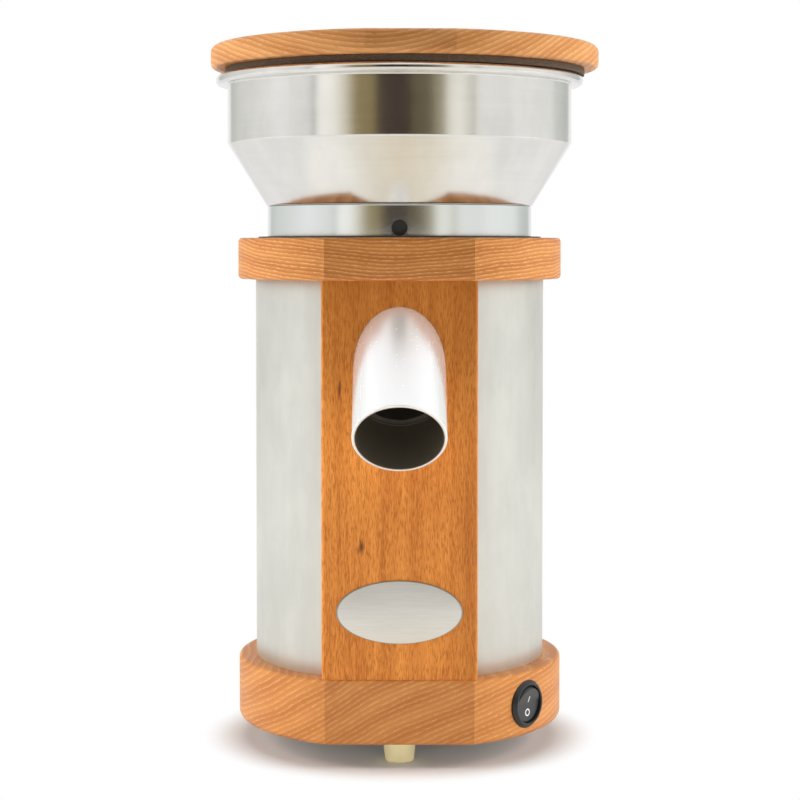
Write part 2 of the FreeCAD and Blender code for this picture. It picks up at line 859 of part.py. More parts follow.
for side, sign in (("left", -1), ("right", 1)):
    x = size.dowel_spread * sign
    level = shell_top + size.dowel_depth
    drilled(top_plate, f"plate_dowel_{side}", x, -dowel_line, size.dowel_radius, level, size.dowel_depth)

# Black ring with the inner thread and the groove that hides the collar's skirt
ring_inside = ring_outer - size.ring_wall
ring_floor_top = groove_level + size.ring_floor
thread_top = plate_top + size.thread_rise
ring = new_body("thread_ring")
turned(ring, "thread_ring_turned", [
    (thread_radius, shell_top),
    (chamber_outer, shell_top),
    (chamber_outer, groove_level),
    (ring_outer, groove_level),
    (ring_outer, plate_top),
    (ring_lip, plate_top),
    (ring_lip, plate_top + size.ring_lip_thickness),
    (ring_inside, plate_top + size.ring_lip_thickness),
    (ring_inside, ring_floor_top),
    (chamber_outer, ring_floor_top),
    (chamber_outer, thread_top),
    (thread_radius, thread_top),
])
x, y = on_circle(ring_screw_circle, RING_SCREW_ANGLE)
drilled(ring, "ring_screw_hole", x, y, size.ring_screw_head, ring_floor_top, size.ring_floor, ROD_COUNT)

# Flat-headed screws that hold the ring down
ring_screws = new_body("ring_screws")
turned(ring_screws, "ring_screw", [
    (0, groove_level - size.screw_depth),
    (size.screw_radius, groove_level - size.screw_depth),
    (size.screw_radius, groove_level),
    (size.ring_screw_head, groove_level),
    (size.ring_screw_head, ring_floor_top),
    (0, ring_floor_top),
], lift=(ring_screw_circle, 0, 0))
ring_of(ring_screws, ring_screws.Tip, ROD_COUNT)
ring_screws.Placement = Placement(Vector(), Rotation(Vector(0, 0, 1), RING_SCREW_ANGLE))

# Cast milling chamber: a pot with a spring ledge, a flange and a slanting outlet duct
chamber = new_body("milling_chamber")
duct_radius = root_bore - size.spout_clearance
duct_lift = (
    0,
    spout_crossing + sine(size.spout_tilt) * size.duct_root,
    panel_front - cosine(size.spout_tilt) * size.duct_root,
)
sketch = sketch_on(chamber, "duct_circle", lift=duct_lift, axis=(1, 0, 0), turn=size.spout_tilt)
circle(sketch, 0, 0, duct_radius)
pad(chamber, "duct", sketch, size.duct_root + size.duct_engagement)
sketch = sketch_on(chamber, "duct_trim_box", "XY_Plane", lift=(0, 0, plate_top))
rectangle(sketch, -size.chamber_radius, size.chamber_radius, -size.duct_back, size.chamber_radius)
pocket(chamber, "duct_trim", sketch, plate_top)
ledge_outer = ledge_level - size.chamber_ledge_thickness
flange_bottom = shell_top - size.flange_thickness
turned(chamber, "chamber_pot", [
    (size.seal_lip, chamber_bottom),
    (size.chamber_radius + size.chamber_wall, chamber_bottom),
    (size.chamber_radius + size.chamber_wall, ledge_outer),
    (chamber_outer, ledge_outer),
    (chamber_outer, flange_bottom),
    (flange_radius, flange_bottom),
    (flange_radius, shell_top),
    (thread_radius, shell_top),
    (thread_radius, ledge_level),
    (size.chamber_radius, ledge_level),
    (size.chamber_radius, chamber_floor_top),
    (size.seal_radius, chamber_floor_top),
    (size.seal_radius, chamber_floor_top - size.seal_depth),
    (size.seal_lip, chamber_floor_top - size.seal_depth),
])
bored(chamber, "chamber_hollow", [
    (size.seal_radius, chamber_floor_top),
    (size.chamber_radius, chamber_floor_top),
    (size.chamber_radius, ledge_level),
    (thread_radius, ledge_level),
    (thread_radius, shell_top),
    (size.seal_radius, shell_top),
])
duct_bore = duct_radius - size.duct_wall
bore_end = panel_front - size.chamber_radius - duct_bore * sine(size.spout_tilt)
sketch = sketch_on(chamber, "duct_bore_circle", **spout_turn)
circle(sketch, 0, 0, duct_bore)
pocket(chamber, "duct_bore_outer", sketch, size.spout_reach, outward=True)
sketch = sketch_on(chamber, "duct_bore_inner_circle", **spout_turn)
circle(sketch, 0, 0, duct_bore)
pocket(chamber, "duct_bore_inner", sketch, bore_end / cosine(size.spout_tilt))
sketch = sketch_on(chamber, "window_outline", lift=(0, 0, chamber_outer + size.cut_allowance))
window_low = chamber_floor_top
window_high = chamber_floor_top + size.window_height
rectangle(sketch, -size.window_width / 2, size.window_width / 2, window_low, window_high)
pocket(chamber, "outlet_window", sketch, chamber_outer - size.chamber_radius + size.cut_allowance * 2)
sketch = sketch_on(chamber, "flange_front", "XY_Plane", lift=(0, 0, shell_top))
flange_flat = panel_back - size.cast_gap
flange_reach = flange_radius + size.cut_allowance
rectangle(sketch, -flange_reach, flange_reach, -flange_reach, -flange_flat)
pocket(chamber, "flange_flat", sketch, size.flange_thickness)
x, y = on_circle(rod_circle, ROD_ANGLE)
drilled(chamber, "flange_rod_hole", x, y, rod_hole, shell_top, size.flange_thickness, ROD_COUNT)
x, y = on_circle(flange_screw_circle, FLANGE_SCREW_ANGLE)
drilled(chamber, "flange_screw_hole", x, y, screw_hole, shell_top, size.flange_thickness, ROD_COUNT)
x, y = on_circle(guide_circle, GUIDE_ANGLE)
drilled(chamber, "guide_hole", x, y, size.guide_radius, ledge_level, size.guide_depth, ROD_COUNT)
x, y = on_circle(size.stud_circle, STUD_ANGLE)
stud_top = chamber_bottom + size.stud_engagement
drilled(chamber, "stud_hole", x, y, size.stud_end, stud_top, size.stud_engagement, ROD_COUNT)

# Screws that hang the chamber from the top plate
chamber_screws = new_body("chamber_screws")
turned(chamber_screws, "chamber_screw", [
    (0, flange_bottom - size.screw_head_height),
    (size.screw_head, flange_bottom - size.screw_head_height),
    (size.screw_head, flange_bottom),
    (size.screw_radius, flange_bottom),
    (size.screw_radius, shell_top + size.screw_depth),
    (0, shell_top + size.screw_depth),
], lift=(flange_screw_circle, 0, 0))
ring_of(chamber_screws, chamber_screws.Tip, ROD_COUNT)
chamber_screws.Placement = Placement(Vector(), Rotation(Vector(0, 0, 1), FLANGE_SCREW_ANGLE))

# Felt seal round the shaft in the chamber's floor
seal = new_body("shaft_seal")
seal_bore = size.shaft_radius + size.shaft_clearance
seal_bottom = chamber_floor_top - size.seal_depth
turned(seal, "felt_ring", [
    (seal_bore, seal_bottom),
    (size.seal_radius, seal_bottom),
    (size.seal_radius, chamber_floor_top),
    (seal_bore, chamber_floor_top),
])

# Rods that clamp base, housing, chamber and top plate together, with their nuts
rods = new_body("tie_rods")
nut_bottom = nut_level - size.nut_height
turned(rods, "tie_rod", [
    (0, nut_bottom),
    (size.rod_radius, nut_bottom),
    (size.rod_radius, shell_top + size.rod_depth),
    (0, shell_top + size.rod_depth),
], lift=(rod_circle, 0, 0))
ring_of(rods, rods.Tip, ROD_COUNT)
nuts = new_body("rod_nuts")
sketch = sketch_on(nuts, "nut_hexagon", "XY_Plane", lift=(0, 0, nut_bottom))
nut_corner = size.nut_flats / cosine(as_size(HALF_NUT_ANGLE))
polygon(sketch, [
    (rod_circle + size.nut_flats, -nut_corner / 2),
    (rod_circle + size.nut_flats, nut_corner / 2),
    (rod_circle, nut_corner),
    (rod_circle - size.nut_flats, nut_corner / 2),
    (rod_circle - size.nut_flats, -nut_corner / 2),
    (rod_circle, -nut_corner),
])
circle(sketch, rod_circle, 0, size.rod_radius)
ring_of(nuts, pad(nuts, "rod_nut", sketch, size.nut_height), ROD_COUNT)

# Guide pins on the ledge keep the stone carrier from turning
pins = new_body("guide_pins")
sketch = sketch_on(pins, "guide_pin_circle", "XY_Plane", lift=(0, 0, ledge_level - size.guide_depth))
x, y = on_circle(guide_circle, GUIDE_ANGLE)
circle(sketch, x, y, size.guide_radius)
ring_of(pins, pad(pins, "guide_pin", sketch, size.guide_depth + size.guide_top), ROD_COUNT)

# Carrier: a ring that cups the upper stone and slides on the guide pins
carrier = new_body("stone_carrier")
skirt_inner = stone_radius
skirt_outer = stone_radius + size.carrier_skirt_wall
turned(carrier, "carrier_turned", [
    (size.carrier_hole, carrier_bottom),
    (skirt_inner, carrier_bottom),
    (skirt_inner, carrier_bottom - size.carrier_skirt),
    (skirt_outer, carrier_bottom - size.carrier_skirt),
    (skirt_outer, carrier_bottom),
    (carrier_radius, carrier_bottom),
    (carrier_radius, carrier_top),
    (size.carrier_hole, carrier_top),
])
x, y = on_circle(guide_circle, GUIDE_ANGLE)
hole = size.guide_radius + size.guide_clearance
drilled(carrier, "carrier_guide_hole", x, y, hole, carrier_top, size.carrier_thickness, ROD_COUNT)


def furrow(body, name, level, depth, downward):
    """Cuts the ring of slanting furrows into a stone's grinding face."""
    sketch = sketch_on(body, f"{name}_outline", "XY_Plane", lift=(0, 0, level))
    half = size.furrow_width / 2
    polygon(sketch, [
        (size.furrow_inner, -half),
        (furrow_outer, -size.furrow_sweep - half / 2),
        (furrow_outer, -size.furrow_sweep + half / 2),
        (size.furrow_inner, half),
    ])
    ring_of(body, pocket(body, name, sketch, depth, outward=not downward), FURROW_COUNT)


# Upper millstone: bonded corundum ring with an eye for the grain
upper_stone = new_body("upper_stone")
turned(upper_stone, "upper_stone_turned", [
    (size.stone_eye, carrier_bottom),
    (size.stone_eye, upper_face + size.furrow_depth),
    (size.furrow_inner + size.stone_bevel, upper_face),
    (stone_radius, upper_face),
    (stone_radius, carrier_bottom),
])
furrow(upper_stone, "upper_furrow", upper_face, size.furrow_depth, downward=False)

# Lower millstone: the same dress on the turning stone
lower_stone = new_body("lower_stone")
turned(lower_stone, "lower_stone_turned", [
    (size.hub_spigot, stone_seat),
    (stone_radius, stone_seat),
    (stone_radius, lower_face),
    (size.hub_spigot, lower_face),
])
furrow(lower_stone, "lower_furrow", lower_face, size.furrow_depth, downward=True)

# Springs of flat wire round the guide pins press the carrier up against the collar
spring_low = ledge_level.value + size.spring_wire.value / 2
spring_rise = carrier_bottom.value - size.disc_gap.value - spring_low - size.spring_wire.value / 2
spring_mean = size.spring_mean_radius.value
half_wire = size.spring_wire.value / 2
coil = Part.makeHelix(spring_rise / SPRING_TURNS, spring_rise, spring_mean)
section = Part.makePolygon([
    Vector(spring_mean - half_wire, 0, -half_wire),
    Vector(spring_mean + half_wire, 0, -half_wire),
    Vector(spring_mean + half_wire, 0, half_wire),
    Vector(spring_mean - half_wire, 0, half_wire),
    Vector(spring_mean - half_wire, 0, -half_wire),
])
wound = Part.Wire(coil.Edges).makePipeShell([section], True, True)
places = []
for index in range(ROD_COUNT):
    x, y = on_circle(guide_circle, GUIDE_ANGLE + 360 * index / ROD_COUNT)
    copy = wound.copy()
    copy.translate(Vector(x.value, y.value, spring_low))
    places.append(copy)
springs = doc.addObject("Part::Feature", "lift_springs")
springs.Label = "lift_springs"
springs.Shape = Part.makeCompound(places)

# Hub under the lower stone
hub = new_body("stone_hub")
wiper_bottom = chamber_floor_top + size.wiper_clearance
spigot_top = lower_face - size.spigot_drop
turned(hub, "hub_turned", [
    (size.shaft_tip_radius, wiper_bottom),
    (size.hub_boss, wiper_bottom),
    (size.hub_boss, hub_level),
    (hub_radius, hub_level),
    (hub_radius, stone_seat),
    (size.hub_spigot, stone_seat),
    (size.hub_spigot, spigot_top),
    (size.shaft_tip_radius, spigot_top),
])

# Cap nut and washer that clamp the lower stone
stone_nut = new_body("stone_nut")
washer_top = lower_face + size.washer_thickness
shaft_top = washer_top + size.cap_depth
turned(stone_nut, "stone_nut_turned", [
    (size.shaft_tip_radius, lower_face),
    (size.washer_radius, lower_face),
    (size.washer_radius, washer_top),
    (size.cap_radius, washer_top),
    (size.cap_radius, washer_top + size.cap_height),
    (0, washer_top + size.cap_height),
    (0, shaft_top),
    (size.shaft_tip_radius, shaft_top),
])
bevelled(stone_nut, "stone_nut_dome", size.cap_dome, round_at(washer_top + size.cap_height, size.cap_radius))

# Wiper blades that sweep the flour to the outlet
wiper = new_body("flour_wiper")
turned(wiper, "wiper_ring_turned", [
    (size.hub_boss, wiper_bottom),
    (size.wiper_ring, wiper_bottom),
    (size.wiper_ring, hub_level),
    (size.hub_boss, hub_level),
])
sketch = sketch_on(wiper, "blade_outline", "XY_Plane", lift=(0, 0, wiper_bottom))
half_blade = size.wiper_blade / 2
rectangle(sketch, size.hub_boss + size.blade_root, wiper_reach, -half_blade, half_blade)
blade = pad(wiper, "wiper_arm", sketch, hub_level - wiper_bottom)
ring_of(wiper, blade, BLADE_COUNT)
sketch = sketch_on(wiper, "lip_outline", "XY_Plane", lift=(0, 0, wiper_bottom))
rectangle(sketch, wiper_reach - size.wiper_lip, wiper_reach, -half_blade, half_blade)
ring_of(wiper, pad(wiper, "wiper_lip_pad", sketch, size.wiper_lip_height), BLADE_COUNT)

# Motor brackets with their bearing housings
housing = size.bearing_radius + size.housing_wall
bracket_bore = size.shaft_radius + size.bracket_clearance
rim_inner = core_radius - size.rim_step
upper_bracket = new_body("upper_bracket")
plate_bottom = bracket_top - size.bracket_plate
housing_top = bracket_top + size.bearing_height + size.upper_housing_rise
turned(upper_bracket, "upper_bracket_turned", [
    (bracket_bore, plate_bottom),
    (rim_inner, plate_bottom),
    (rim_inner, core_top),
    (core_radius, core_top),
    (core_radius, core_top - size.bracket_step),
    (bracket_radius, core_top - size.bracket_step),
    (bracket_radius, bracket_top),
    (housing, bracket_top),
    (housing, housing_top),
    (size.bearing_radius, housing_top),
    (size.bearing_radius, housing_top - size.bearing_height),
    (bracket_bore, housing_top - size.bearing_height),
])
lower_bracket = new_body("lower_bracket")
plate_level = bracket_bottom + size.bracket_plate
lower_housing_top = plate_level + size.bearing_height + size.lower_housing_rise
turned(lower_bracket, "lower_bracket_turned", [
    (bracket_bore, bracket_bottom),
    (bracket_radius, bracket_bottom),
    (bracket_radius, core_bottom + size.bracket_step),
    (core_radius, core_bottom + size.bracket_step),
    (core_radius, core_bottom),
    (rim_inner, core_bottom),
    (rim_inner, plate_level),
    (housing, plate_level),
    (housing, lower_housing_top),
    (size.bearing_radius, lower_housing_top),
    (size.bearing_radius, lower_housing_top - size.bearing_height),
    (bracket_bore, lower_housing_top - size.bearing_height),
])
x, y = on_circle(bolt_circle, BOLT_ANGLE)
plate = size.bracket_plate
drilled(upper_bracket, "upper_bolt_hole", x, y, size.bolt_radius, bracket_top, plate, BOLT_COUNT)
drilled(lower_bracket, "lower_bolt_hole", x, y, size.bolt_radius, plate_level, plate, BOLT_COUNT)
x, y = on_circle(size.stud_circle, STUD_ANGLE)
drilled(upper_bracket, "upper_stud_hole", x, y, size.stud_end, bracket_top, plate, ROD_COUNT)

# Ball bearings pressed into the housings
for name, top in (("upper_bearing", housing_top), ("lower_bearing", lower_housing_top)):
    bearing = new_body(name)
    turned(bearing, f"{name}_turned", [
        (seal_bore, top - size.bearing_height),
        (size.bearing_radius, top - size.bearing_height),
        (size.bearing_radius, top),
        (seal_bore, top),
    ])

# Wound stator and its windings
stator = new_body("stator_core")
turned(stator, "stator_ring", [
    (size.core_bore, core_bottom),
    (core_radius, core_bottom),
    (core_radius, core_top),
    (size.core_bore, core_top),
])
x, y = on_circle(bolt_circle, BOLT_ANGLE)
drilled(stator, "stator_bolt_hole", x, y, size.bolt_radius, core_top, core_top - core_bottom, BOLT_COUNT)
windings = new_body("stator_windings")
for name, low, high in (
    ("upper_winding", core_top, plate_bottom - size.winding_gap),
    ("lower_winding", plate_level + size.winding_gap, core_bottom),
):
    turned(windings, name, [
        (size.winding_inner, low),
        (winding_outer, low),
        (winding_outer, high),
        (size.winding_inner, high),
    ])

# Long bolts through the brackets, and the studs that hang the motor from the chamber
bolts = new_body("motor_bolts")
bolt_head_bottom = bracket_bottom - size.screw_head_height
turned(bolts, "motor_bolt", [
    (0, bolt_head_bottom),
    (size.screw_head, bolt_head_bottom),
    (size.screw_head, bracket_bottom),
    (size.bolt_radius, bracket_bottom),
    (size.bolt_radius, bracket_top),
    (0, bracket_top),
], lift=(bolt_circle, 0, 0))
ring_of(bolts, bolts.Tip, BOLT_COUNT)
bolts.Placement = Placement(Vector(), Rotation(Vector(0, 0, 1), BOLT_ANGLE))
studs = new_body("motor_studs")
turned(studs, "motor_stud", [
    (0, plate_bottom),
    (size.stud_end, plate_bottom),
    (size.stud_end, bracket_top),
    (size.stud_radius, bracket_top),
    (size.stud_radius, chamber_bottom),
    (size.stud_end, chamber_bottom),
    (size.stud_end, stud_top),
    (0, stud_top),
], lift=(size.stud_circle, 0, 0))
ring_of(studs, studs.Tip, ROD_COUNT)
studs.Placement = Placement(Vector(), Rotation(Vector(0, 0, 1), STUD_ANGLE))

# Motor shaft, rotor core and cooling fan
shaft = new_body("motor_shaft")
shaft_bottom = bracket_bottom - size.shaft_tail
turned(shaft, "shaft_turned", [
    (0, shaft_bottom),
    (size.shaft_radius, shaft_bottom),
    (size.shaft_radius, wiper_bottom),
    (size.shaft_tip_radius, wiper_bottom),
    (size.shaft_tip_radius, shaft_top),
    (0, shaft_top),
])
rotor = new_body("rotor_core")
rotor_radius = size.core_bore - size.air_gap
turned(rotor, "rotor_turned", [
    (size.shaft_radius, core_bottom),
    (rotor_radius, core_bottom),
    (rotor_radius, core_top),
    (size.shaft_radius, core_top),
])
fan = new_body("cooling_fan")
fan_top = bracket_bottom - size.fan_drop
fan_bottom = fan_top - size.fan_height
turned(fan, "fan_turned", [
    (size.shaft_radius, fan_bottom),
    (size.fan_hub, fan_bottom),
    (size.fan_hub, fan_top - size.fan_disc),
    (size.fan_radius, fan_top - size.fan_disc),
    (size.fan_radius, fan_top),
    (size.shaft_radius, fan_top),
])
sketch = sketch_on(fan, "fan_blade_outline", "XY_Plane", lift=(0, 0, fan_bottom))
rectangle(sketch, size.fan_hub - size.blade_root, size.fan_radius, -size.fan_blade / 2, size.fan_blade / 2)
ring_of(fan, pad(fan, "fan_blade_pad", sketch, size.fan_height - size.fan_disc), FAN_BLADES)

# Run capacitor and terminal block under the base's ceiling
for name, x, y, length, depth, height in (
    (
        "run_capacitor", 0, size.capacitor_offset,
        size.capacitor_length, size.capacitor_depth, size.capacitor_height,
    ),
    (
        "terminal_block", -size.block_shift, -size.block_offset,
        size.block_length, size.block_depth, size.block_height,
    ),
):
    box = doc.addObject("Part::Box", name)
    box.Label = name
    bind(box, "Length", length)
    bind(box, "Width", depth)
    bind(box, "Height", height)
    bind(box, ".Placement.Base.x", x - length / 2)
    bind(box, ".Placement.Base.y", y - depth / 2)
    bind(box, ".Placement.Base.z", ceiling - height)

# Round switch housing in the base's side
switch = new_body("switch_body")
switch_turn = size.switch_angle + 180
bezel_front = switch_face + size.bezel_thickness
switch_place = dict(role="XY_Plane", lift=(0, 0, switch_height), axis=(0, 0, 1), turn=switch_turn)
turned(switch, "switch_turned", [
    (0, switch_face - size.switch_depth),
    (size.switch_can, switch_face - size.switch_depth),
    (size.switch_can, switch_face),
    (size.bezel_radius, switch_face),
    (size.bezel_radius, bezel_front - size.bezel_chamfer),
    (size.rocker_opening + size.bezel_land, bezel_front),
    (size.rocker_opening, bezel_front),
    (size.rocker_opening, switch_face - size.switch_depth + size.switch_floor),
    (0, switch_face - size.switch_depth + size.switch_floor),
], **switch_place)

# Rocker: a ball-sided button whose two faces meet in a shallow valley
pivot = switch_face - size.rocker_pivot
rocker_plane = switch_face + size.rocker_face
rocker = new_body("rocker")
half_disc = sketch_on(rocker, "rocker_half_disc", **switch_place)
pole = Vector(0, pivot.value - size.rocker_radius.value, 0)
far_pole = Vector(0, pivot.value + size.rocker_radius.value, 0)
belly = Vector(size.rocker_radius.value, pivot.value, 0)
half_disc.addGeometry(Part.Arc(pole, belly, far_pole), False)
half_disc.addGeometry(Part.LineSegment(far_pole, pole), False)
half_disc.addConstraint(Sketcher.Constraint("Coincident", 0, 2, 1, 1))
half_disc.addConstraint(Sketcher.Constraint("Coincident", 1, 2, 0, 1))
half_disc.addConstraint(Sketcher.Constraint("Vertical", 1))
pin_point(half_disc, 0, 3, 0, pivot)
row = half_disc.addConstraint(Sketcher.Constraint("Radius", 0, size.rocker_radius.value))
bind(half_disc, f"Constraints[{row}]", size.rocker_radius)
turn_about(rocker, "Revolution", "rocker_ball", half_disc)
reach = size.rocker_radius * 2
front = rocker_plane + reach
side_place = dict(axis=(0, 1, 0), turn=size.switch_angle - 90)
side = sketch_on(rocker, "rocker_faces", **side_place)
polygon(side, [
    (rocker_plane, switch_height - reach),
    (rocker_plane, switch_height),
    (rocker_plane + tangent(size.rocker_throw) * reach, switch_height + reach),
    (front, switch_height + reach),
    (front, switch_height - reach),
])
pocket(rocker, "rocker_valley", side, reach * 2, both_ways=True)
side = sketch_on(rocker, "rocker_under", **side_place)
under = pivot - size.rocker_back
rectangle(side, under - reach, under, switch_height - reach, switch_height + reach)
pocket(rocker, "rocker_underside", side, reach * 2, both_ways=True)

# Cord gland at the back of the base
gland = new_body("cord_gland")
turned(gland, "gland_turned", [
    (size.gland_bore, gland_face - size.gland_length),
    (size.gland_radius, gland_face - size.gland_length),
    (size.gland_radius, gland_face),
    (size.gland_flange, gland_face),
    (size.gland_flange, gland_face + size.gland_flange_thickness),
    (size.gland_bore, gland_face + size.gland_flange_thickness),
], role="XY_Plane", lift=(0, 0, switch_height))

# Adjusting collar: skirt, threaded neck and feed tube in one turning
collar = new_body("adjusting_collar")
neck_outer = thread_radius - size.thread_clearance
skirt_inside = collar_radius - size.collar_skirt_wall
skirt_bottom = ring_floor_top + size.collar_skirt_gap
feed_outer = size.feed_radius + size.feed_wall
turned(collar, "collar_turned", [
    (size.feed_radius, neck_bottom - size.feed_drop),
    (feed_outer, neck_bottom - size.feed_drop),
    (feed_outer, web_bottom),
    (neck_outer - size.neck_wall, web_bottom),
    (neck_outer - size.neck_wall, neck_bottom),
    (neck_outer, neck_bottom),
    (neck_outer, web_bottom),
    (skirt_inside, web_bottom),
    (skirt_inside, skirt_bottom),
    (collar_radius, skirt_bottom),
    (collar_radius, collar_top),
    (size.feed_radius, collar_top),
])
bevelled(collar, "collar_top_edge", size.collar_edge, round_at(collar_top, collar_radius))
index_level = plate_top + size.index_height
sketch = sketch_on(collar, "index_hole_circle", lift=(0, index_level, collar_radius))
circle(sketch, 0, 0, size.index_radius)
pocket(collar, "index_hole", sketch, size.index_depth)
x, y = on_circle(size.hopper_screw_circle, BOLT_ANGLE)
drilled(collar, "collar_screw_hole", x, y, screw_hole, collar_top, size.collar_web, BOLT_COUNT)

# Black plug that marks the grind setting
plug = new_body("index_plug")
sketch = sketch_on(plug, "index_circle", lift=(0, index_level, collar_radius - size.index_depth))
circle(sketch, 0, 0, size.index_radius)
pad(plug, "index_pin", sketch, size.index_depth - size.index_sink)

# Spun steel hopper with a rolled rim
hopper = new_body("hopper_bowl")
wall = size.hopper_wall
turned(hopper, "hopper_spun", [
    (size.hopper_throat, collar_top),
    (hopper_foot, collar_top),
    (size.hopper_radius, crease),
    (size.hopper_radius, rim_top),
    (size.hopper_radius - wall, rim_top),
    (size.hopper_radius - wall, crease + size.inner_crease_rise),
    (hopper_foot - size.inner_foot_set, collar_top + wall),
    (size.hopper_throat, collar_top + wall),
])
turned(hopper, "hopper_bead", [
    (size.hopper_radius - wall, rim_top - size.bead_height),
    (bead_outer, rim_top - size.bead_height),
    (bead_outer, rim_top),
    (size.hopper_radius - wall, rim_top),
])
rounded(hopper, "bead_round_edge", size.bead_round, either(
    round_at(rim_top, bead_outer),
    round_at(rim_top - size.bead_height, bead_outer),
))
rounded(hopper, "hopper_bends", size.hopper_bend, either(
    round_at(crease, size.hopper_radius),
    round_at(collar_top, hopper_foot),
))
x, y = on_circle(size.hopper_screw_circle, BOLT_ANGLE)
drilled(hopper, "hopper_screw_hole", x, y, screw_hole, collar_top + wall, wall, BOLT_COUNT)

# Screws that fix the hopper to the collar
hopper_screws = new_body("hopper_screws")
turned(hopper_screws, "hopper_screw", [
    (0, web_bottom),
    (size.screw_radius, web_bottom),
    (size.screw_radius, collar_top + wall),
    (size.screw_head, collar_top + wall),
    (size.screw_head, collar_top + wall + size.screw_head_height),
    (0, collar_top + wall + size.screw_head_height),
], lift=(size.hopper_screw_circle, 0, 0))
ring_of(hopper_screws, hopper_screws.Tip, BOLT_COUNT)
hopper_screws.Placement = Placement(Vector(), Rotation(Vector(0, 0, 1), BOLT_ANGLE))

# Beech lid and the dark disc under it, which drops into the hopper's mouth
lid = new_body("lid")
outline = sketch_on(lid, "lid_outline", "XY_Plane", lift=(0, 0, lid_bottom))
flat_fronted_disc(outline, lid_radius, lid_radius - size.lid_flat)
pad(lid, "lid_board", outline, size.lid_thickness)
lid_top = lid_bottom + size.lid_thickness
rounded(lid, "lid_top_round", size.lid_top_edge, flat_at(lid_top))
rounded(lid, "lid_under_round", size.lid_under_edge, flat_at(lid_bottom))
disc = new_body("lid_disc")
disc_radius = lid_radius - size.disc_margin
turned(disc, "lid_disc_turned", [
    (0, disc_bottom - size.disc_plug_depth),
    (disc_plug, disc_bottom - size.disc_plug_depth),
    (disc_plug, disc_bottom),
    (disc_radius, disc_bottom),
    (disc_radius, lid_bottom),
    (0, lid_bottom),
])
lid_screw_top = lid_bottom + size.lid_screw_reach
lid_screws = new_body("lid_screws")
screw_start = disc_bottom - size.disc_plug_depth
turned(lid_screws, "lid_screw", [
    (0, screw_start),
    (size.screw_head, screw_start),
    (size.screw_head, screw_start + size.screw_head_height),
    (size.screw_radius, screw_start + size.screw_head_height),
    (size.screw_radius, lid_screw_top),
    (0, lid_screw_top),
], lift=(size.lid_screw_circle, 0, 0))
ring_of(lid_screws, lid_screws.Tip, BOLT_COUNT)
x, y = size.lid_screw_circle, 0
drilled(disc, "disc_screw_sink", x, y, size.screw_head + size.screw_clearance,
        screw_start + size.screw_head_height, size.screw_head_height, BOLT_COUNT)
drilled(disc, "disc_screw_hole", x, y, screw_hole, lid_bottom,
        size.disc_thickness + size.disc_plug_depth, BOLT_COUNT)
drilled(lid, "lid_screw_hole", x, y, screw_hole, lid_screw_top, size.lid_screw_reach, BOLT_COUNT)
for piece in (lid, disc, lid_screws):
    bind(piece, ".Placement.Base.x", size.lid_shift)
    bind(piece, ".Placement.Rotation.Angle", size.lid_turn)

doc.recompute()

# Every object is looked over before anything is written
made = (
    "foot_front", "foot_right", "foot_left", "foot_screws", "base", "bottom_cover",
    "body_shell", "front_panel", "panel_dowels", "oval_plate", "spout_tube", "top_plate",
    "thread_ring", "ring_screws", "milling_chamber", "chamber_screws", "shaft_seal",
    "tie_rods", "rod_nuts", "guide_pins", "lift_springs", "stone_carrier", "upper_stone",
    "lower_stone", "stone_hub", "stone_nut", "flour_wiper", "upper_bracket",
    "lower_bracket", "upper_bearing", "lower_bearing", "stator_core", "stator_windings",
    "motor_bolts", "motor_studs", "motor_shaft", "rotor_core", "cooling_fan",
    "run_capacitor", "terminal_block", "switch_body", "rocker", "cord_gland",
    "adjusting_collar", "index_plug", "hopper_bowl", "hopper_screws", "lid", "lid_disc",
    "lid_screws",
)
for item in doc.Objects:
    if "Invalid" in item.State or "Error" in item.State:
        raise RuntimeError(f"{item.Name} did not build: {item.State}")
os.makedirs("parts", exist_ok=True)
pieces = [doc.getObjectsByLabel(label)[0] for label in made]
for piece in pieces:
    if piece.Shape.isNull() or not piece.Shape.isValid():
        raise RuntimeError(f"{piece.Label} has no sound shape")
for piece in pieces:
    piece.Shape.exportStep(f"parts/{piece.Label}.step")
print(f"{len(pieces)} pieces written")
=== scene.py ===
import math

import bmesh
import bpy
import numpy as np
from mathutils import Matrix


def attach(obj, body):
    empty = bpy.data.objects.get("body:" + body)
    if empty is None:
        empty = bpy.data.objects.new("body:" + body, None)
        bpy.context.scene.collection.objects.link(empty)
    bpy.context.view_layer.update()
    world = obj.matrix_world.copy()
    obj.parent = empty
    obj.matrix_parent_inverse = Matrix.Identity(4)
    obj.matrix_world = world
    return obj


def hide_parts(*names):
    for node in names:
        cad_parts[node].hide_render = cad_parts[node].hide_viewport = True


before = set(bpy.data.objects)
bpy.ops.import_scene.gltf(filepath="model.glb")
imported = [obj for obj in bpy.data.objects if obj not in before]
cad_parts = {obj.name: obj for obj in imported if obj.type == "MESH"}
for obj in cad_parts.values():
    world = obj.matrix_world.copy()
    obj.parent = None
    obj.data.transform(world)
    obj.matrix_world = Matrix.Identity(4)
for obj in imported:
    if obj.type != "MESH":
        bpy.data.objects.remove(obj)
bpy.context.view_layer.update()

# The rubber feet: three short ivory cones moulded with a sunk hole for their screw.
# Each is screwed to the underside of the base.
MM = 0.001
CRISP = 32
FOOT_TOE, FOOT_TOP, HEAD_BORE, SHANK_BORE = 6.1, 7.2, 3.7, 2.2
FOOT_HEIGHT, FOOT_LEDGE, FOOT_CIRCLE = 9.7, 5.6, 50.0


